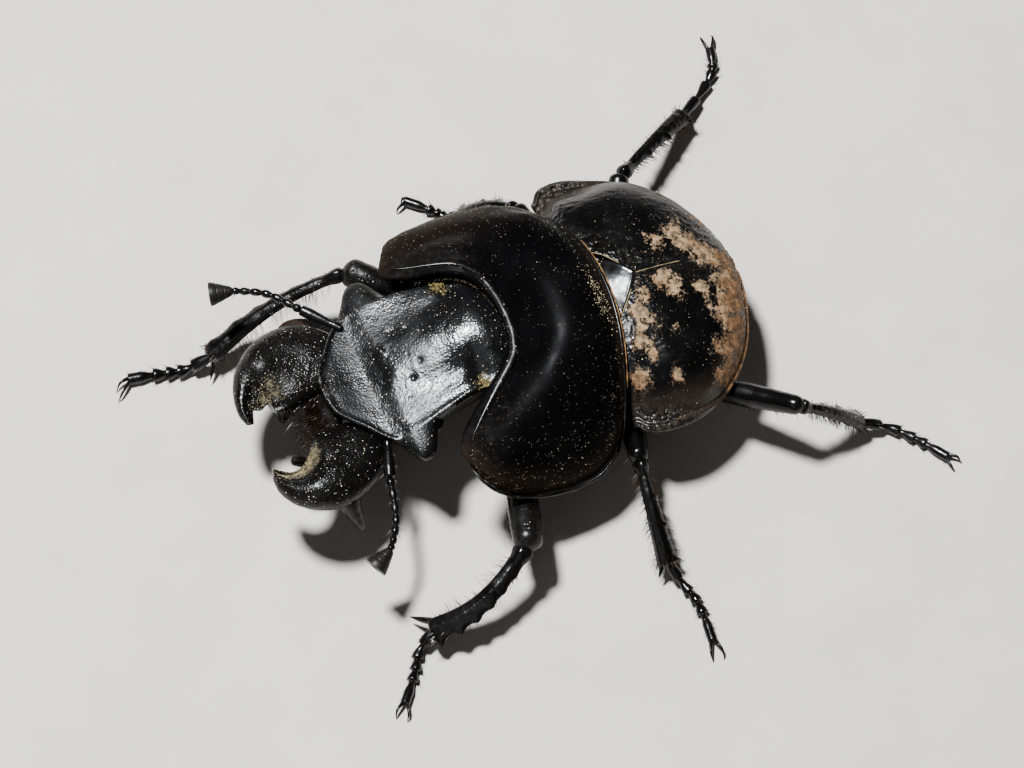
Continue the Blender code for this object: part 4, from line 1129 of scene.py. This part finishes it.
def make_tibia(name, knee, ankle, bow, coat):
    """Keeled shin; the fore shin carries blunt digging teeth on its outer edge."""
    fore, worn = name.startswith("fore"), name == "fore_r"
    outer = -1 if name.endswith("_l") else 1
    t = limb_steps(120, 0.035)
    centre = knee + (ankle - knee) * (0.02 + 0.98 * t)[:, None] + np.sin(PI * t)[:, None] * bow
    wide = (0.75 if worn else 0.94) * profile(FORE_SHIN, t) if fore else profile(SLIM_SHIN, t)
    high = profile(((0, 0.38), (0.06, 0.44), (0.14, 0.28), (0.5, 0.31), (1, 0.36)), t)
    teeth = ((0.35, 0.3, 0.02), (0.62, 0.3, 0.02), (0.97, 0.25, 0.03))
    if fore:
        teeth = [(place, (0.45 if worn else 0.8) * (0.16 + 0.08 * k), 0.03 + 0.004 * k)
                 for k, place in enumerate((0.2, 0.33, 0.46, 0.6, 0.75, 0.93))]

    def swell(share, angles):
        turn = np.mod(angles - (PI / 2 + outer * 0.75), TURN)
        keel = 0.16 * bell(turn, 0.0, 0.35) + 0.16 * bell(turn, TURN, 0.35)
        bumps = sum(size * math.exp(-((share - place) / width) ** 2) for place, size, width in teeth)
        squeeze = 1 - 0.12 * np.abs(np.sin(2 * angles))
        edge = np.maximum(np.cos(angles) * outer, 0) ** 5
        return (squeeze + keel * smoothstep(0.08, 0.2, share)) * (1 + edge * bumps)

    limb = Tube(t, centre, wide, high, sides=40, swell=swell, cap=0.035)
    verts, faces = limb.mesh()
    parts = [(swollen(verts, np.repeat(centre, 40, axis=0), roughen(verts, 0.3) * 0.014), faces)]
    along, side = limb.along[-6], limb.side[-4] * outer
    if fore:
        spurs, thick = [np.array(FORE_SPURS[name])], 1.5
    else:
        spurs, thick = [], 1.0
        for sign, length in ((1, 0.62), (-1, 0.5)):
            start = centre[-4] - along * 0.12 + side * sign * wide[-8] * 0.55
            spurs.append((start, start + along * length - side * 0.28 - UP * 0.12))
    for start, tip in spurs:
        tip[2] = max(tip[2], 0.12)
        stations = ((*start, 0.13 * thick, 0.12 * thick),
                    (*((start + tip) / 2 + along * 0.04), 0.09 * thick, 0.08 * thick), (*tip, 0.02, 0.02))
        parts.append(path_mesh(stations, 22, 14, 0.05))
    add_piece("shin_" + name, *join(parts), LIMB, "limb", "tibia_" + name)
    angles = {"inner": (PI, PI * 1.45), "outer": (PI * 1.6, PI * 2.02), "top": (0, PI)}
    if outer < 0:
        angles.update(inner=(PI * 1.55, TURN), outer=(PI * 0.98, PI * 1.4))
    for count, shares, place, *rest in FORE_BRISTLES if fore else SLIM_BRISTLES:
        fringe(coat, limb, 1, count, shares, angles[place], *rest)
    for angle in np.linspace(0, TURN, 18, endpoint=False):
        point, out, far = limb.root(0.96, angle)
        coat.bristle(point, out * 0.55 + far, uniform(0.28, 0.45), 0.022, tile(1, 0.98, angle), 0.0)


def make_tarsus(name, knee, ankle, foot, claw, coat):
    """Foot of five flaring joints, each with its spines, and two hooked claws."""
    ends, joints = FOOT_JOINTS, len(FOOT_JOINTS) - 1
    t = np.linspace(0, 1, joints * 22 + 1)
    place = np.clip(np.searchsorted(ends, t, side="right") - 1, 0, joints - 1)
    local = (t - ends[place]) / (ends[place + 1] - ends[place])
    size = np.where(place == joints - 1,
                    0.12 + 0.09 * smoothstep(0.0, 0.45, local) * smoothstep(1.1, 0.9, local),
                    0.125 + 0.12 * smoothstep(0.0, 0.8, local) * smoothstep(1.03, 0.93, local))
    size = size * (1.35 if name == "fore_r" else 1.1)
    centre = spline((ankle - 0.25 * unit(ankle - knee), *foot), t)
    limb = Tube(t, centre, size, size * 0.95, sides=24, cap=0.015, floor=True)
    parts, root = [limb.mesh()], foot[-1]
    heading = unit(root - foot[-2])
    aside = unit(np.cross(heading, UP))
    for sign in (-1, 1):
        knuckle = root - heading * 0.12 + aside * 0.07 * sign + (0, 0, 0.02)
        middle = (root + claw) / 2 + aside * 0.27 * sign + (0, 0, 0.18)
        end = claw - (claw - root) * 0.12 + aside * 0.26 * sign
        stations = ((*knuckle, 0.1, 0.12), (*middle, 0.06, 0.075), (*end[:2], 0.03, 0.01, 0.01))
        parts.append(path_mesh(stations, 26, 14, 0.04, floor=True))
    add_piece("foot_" + name, *join(parts), LIMB, "limb", "tarsus_" + name)
    for near, far_end in zip(ends[:-2], ends[1:-1]):
        share = near + 0.85 * (far_end - near)
        for angle in (0.2, 0.9, 2.2, 2.9, 3.7, 4.3, 5.1, 5.7):
            point, out, far = limb.root(share, angle + uniform(-0.2, 0.2))
            aim = out * 0.8 + far
            if point[2] < 0.2:
                aim[2] = max(aim[2], -0.1)
            coat.bristle(point, aim, uniform(0.16, 0.32), 0.013, tile(2, share, angle), 0.0)
    fringe(coat, limb, 2, 40, (0.05, 0.95), (PI * -0.2, PI * 1.2), (0.15, 0.4), 0.01, 0.9, 0.0)


def make_leg(name):
    """One whole leg and its coat of bristles."""
    shoulder, hip, knee, ankle, bow, foot, claw = (np.array(p) for p in LEGS[name])
    coat = Coat()
    make_coxa(name, shoulder)
    make_femur(name, hip, knee, coat)
    make_tibia(name, knee, ankle, bow, coat)
    make_tarsus(name, knee, ankle, foot, claw, coat)
    coat.make("leg_bristles_" + name, HAIR, "limb")


# ---- dust, fringes and mouth hairs ----
def sheet_sampler(grid):
    """Function giving a point and its normal at shares across and along a grid."""
    normals = grid_normals(grid)
    rows, cols = grid.shape[:2]

    def sample(u, v):
        place = int(v * (rows - 1)), int(u * (cols - 1))
        return grid[place], normals[place]
    return sample


def scatter_grains(coat, row, grid, count, size, weight):
    """Drop crumbs on a sheet where a weight lets them lie."""
    sample, placed = sheet_sampler(grid), 0
    while placed < count:
        u, v = random.random(), random.random()
        place, out = sample(u, v)
        if random.random() < weight(*place):
            coat.grain(place + out * 0.01, uniform(*size) * (1.6 if random.random() < 0.06 else 1),
                       (0.02 + 0.96 * u, (row + 0.05 + 0.9 * v) / 4))
            placed += 1


def make_dust(head_top, jaw_tops):
    """Sandy specks over the shield, the head, the wing cases and the jaws' ledges."""
    coat = Coat()
    shield = shield_grid(np.linspace(-0.97, 0.97, 300), np.linspace(0.03, 0.97, 200))
    scatter_grains(coat, 0, shield, 1500, (0.007, 0.022),
                   lambda x, y, z: 0.25 + 0.5 * abs(x) / 7 + 0.3 * (y > -1.5))
    scatter_grains(coat, 0, shield, 170, (0.015, 0.04), lambda x, y, z: spot(x, y, 0.9, 0.3, 1.0, 0.28))
    for row, side in ((1, 1), (2, -1)):
        wing = wing_grid(np.linspace(0.02, 0.98, 200), np.linspace(0.1, 0.97, 200)) * (side, 1, 1)
        scatter_grains(coat, row, wing, 260, (0.012, 0.028), lambda x, y, z: 0.6)
    scatter_grains(coat, 3, head_top[12:, 4:-4], 420, (0.012, 0.028),
                   lambda x, y, z: 0.4 + 0.4 * (y < -9.5))
    for letter, (cx, cy, count) in JAW_DUST.items():
        scatter_grains(coat, 3, jaw_tops[letter], count, (0.009, 0.024),
                       lambda x, y, z: spot(x, y, cx, cy, 0.5, 0.75) * (z > 4.5))
    coat.make("dust_specks", GRAIN, "shell")


# Fringes of the shield: share front to rear, reach across, its span on the map, inset, shift, sideways
# sway, direction along y, lengths, radius and strip of the map.
FRINGES = ((0.0, 0.5, 1, 0.3, (0, 0.1, -0.25), 0.5, -1, (0.1, 0.26), 0.007, 0.2),
           (1.0, 0.92, 2, 0.25, (0, -0.05, -0.12), 0.3, 1, (0.18, 0.34), 0.014, 0.5))
FRINGE_COUNT = 420
# Dusty tufts at the head's rear corners: x, y, spread in x and in y, and number of bristles.
TUFTS = ((2.2, -5.85, 0.25, 0.175, 150), (-3.2, -6.0, 0.225, 0.2, 130))


def make_fringes(head_top):
    """Hair under the shield's front rim, in the waist, and dusty tufts at the head's rear corners."""
    coat = Coat()
    for v, reach, span, inset, shift, sway, toward, lengths, radius, strip in FRINGES:
        for _ in range(FRINGE_COUNT):
            u = uniform(-reach, reach)
            place = shield_grid(np.array([u]), np.array([v]), inset)[0, 0] + shift
            coat.bristle(place, (gauss(0, sway), toward, -0.25), uniform(*lengths), radius,
                         (0.5 + 0.8 * u / span, strip), 0.1)
    coat.make("shield_fringe", PALE_HAIR, "shell")
    tufts, sample = Coat(), sheet_sampler(head_top)
    rows, cols = head_top.shape[:2]
    for cx, cy, rx, ry, count in TUFTS:
        for _ in range(count):
            x, y = gauss(cx, rx), gauss(cy, ry)
            k = int(np.argmin((head_top[..., 0] - x) ** 2 + (head_top[..., 1] - y) ** 2))
            row, col = divmod(k, cols)
            place, out = sample((col + 0.5) / cols, (row + 0.5) / rows)
            patch = (col / cols, row / rows)
            tufts.bristle(place, out + np.array((gauss(0, 0.6), gauss(-0.4, 0.5), 0)), uniform(0.08, 0.2),
                          0.012, patch, 0.1)
            tufts.grain(place + out * 0.03, uniform(0.015, 0.035), patch)
    tufts.make("head_tufts", TUFT_HAIR, "head")


def make_mouth_hair():
    """Brown brushes between the jaws."""
    coat = Coat()
    for _ in range(520):
        x, y = uniform(-0.95, 1.25), uniform(-14.3, -12.9)
        z = 4.6 - 0.6 * (-12.9 - y) / 1.4 + uniform(-0.1, 0.15)
        aim = (gauss(0.15 * x, 0.45), -1.0, gauss(0.15, 0.4))
        coat.bristle(np.array((x, y, z)), aim, uniform(0.25, 0.75), 0.014,
                     ((x + 1.2) / 2.6, (y + 14.5) / 1.8 * 0.45), 0.35, (gauss(0, 1), 0, 0.6))
    for letter, side in SIDES:
        for k, (x, y) in enumerate(spline(JAW_INNER[letter], np.linspace(0.1, 0.5, 60))):
            for _ in range(2):
                aim = (-side + gauss(0, 0.3), gauss(-0.5, 0.4), gauss(0, 0.3))
                coat.bristle(np.array((x, y, 4.5 + uniform(-0.3, 0.2))), aim, uniform(0.2, 0.5), 0.012,
                             (k / 60, 0.6 + 0.15 * side), 0.1)
    coat.make("mouth_brushes", MOUTH_HAIR, "mouthpart")


# ---- camera, light and floor ----
# View in degrees; the point looked at, distance, lens and sensor in mm.
AZIMUTH, ELEVATION, ROLL = 69.23, 62.11, -1.35
AIM = (1.527, -4.254, 3.646)
DISTANCE, LENS, SENSOR = 300.0, 228.87, 36.0
LIGHT_AIM = (0.0, -4.0, 4.0)
# Name, direction from the animal, distance and size in mm, watts and colour.
LIGHTS = (("key", (-0.18, -0.18, 0.965), 260, 40, 1.35, (0.96, 0.98, 1.0)),
          ("fill", (0.6, -0.5, 0.6), 400, 300, 0.12, (0.95, 0.97, 1.0)))
SKY, SKY_STRENGTH = (1.0, 0.96, 0.9, 1.0), 0.06
# Half width of the floor in metres.
FLOOR = 1.5


def to_world(point):
    """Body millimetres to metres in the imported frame."""
    return Vector(((np.array(point, float) + SHIFT) * MM).tolist())


def make_camera():
    """Long lens looking steeply down on the animal's left side."""
    az, el, roll = (math.radians(a) for a in (AZIMUTH, ELEVATION, ROLL))
    back = Vector((math.sin(az) * math.cos(el), -math.cos(az) * math.cos(el), math.sin(el)))
    right = Vector((0, 0, 1)).cross(back).normalized()
    up = back.cross(right)
    right, up = right * math.cos(roll) + up * math.sin(roll), up * math.cos(roll) - right * math.sin(roll)
    data = bpy.data.cameras.new("camera")
    data.lens, data.sensor_width, data.clip_start, data.clip_end = LENS, SENSOR, 0.01, 10.0
    camera = new_object("camera", data)
    camera.matrix_world = Matrix.Translation(to_world(AIM) + back * DISTANCE * MM) @ Matrix(
        (right, up, back)).transposed().to_4x4()
    bpy.context.scene.camera = camera


def area_light(name, toward, distance, size, power, colour):
    """Round soft light in a direction from the animal, aimed at it."""
    data = bpy.data.lights.new(name, "AREA")
    data.shape, data.size, data.energy, data.color = "DISK", size * MM, power, colour
    direction = Vector(toward).normalized()
    turned = direction.to_track_quat("Z", "Y").to_matrix().to_4x4()
    place = to_world(LIGHT_AIM) + direction * distance * MM
    new_object(name, data).matrix_world = Matrix.Translation(place) @ turned


def make_studio():
    """Pale floor, lights and a dim sky."""
    mesh = bpy.data.meshes.new("floor")
    mesh.from_pydata([(-FLOOR, -FLOOR, 0), (FLOOR, -FLOOR, 0), (FLOOR, FLOOR, 0), (-FLOOR, FLOOR, 0)],
                     [], [(0, 1, 2, 3)])
    s = Shader("floor_paint", (0.62, 0.6, 0.56), 0.9)
    mesh.materials.append(s.link(Base_Color=s.mix(
        s.ramp(s.noise(6.0, 4.0), 0.3, 0.7), (0.62, 0.6, 0.57), (0.66, 0.64, 0.6))))
    new_object("floor", mesh)
    for light in LIGHTS:
        area_light(*light)
    world = bpy.data.worlds.new("studio")
    bpy.context.scene.world = world
    world.use_nodes = True
    sky = world.node_tree.nodes["Background"]
    sky.inputs["Color"].default_value = SKY
    sky.inputs["Strength"].default_value = SKY_STRENGTH
    bpy.context.scene.view_settings.look = "AgX - Medium High Contrast"


# ---- build ----
make_camera()
make_studio()
make_pronotum()
make_shield_bead()
make_prothorax()
for wing_letter, wing_side in SIDES:
    make_elytron(wing_letter, wing_side)
make_scutellum()
make_seams()
make_hind_body()
head_surface = make_head()
make_eyes()
jaw_surfaces = {jaw_letter: make_mandible(jaw_letter, jaw_side) for jaw_letter, jaw_side in SIDES}
make_jaw_flange()
make_mouth()
feeler_coat = Coat()
for feeler in ANTENNAE:
    make_antenna(feeler, feeler_coat)
feeler_coat.make("feeler_bristles", HAIR, "limb")
for leg_name in LEGS:
    make_leg(leg_name)
make_dust(head_surface, jaw_surfaces)
make_fringes(head_surface)
make_mouth_hair()
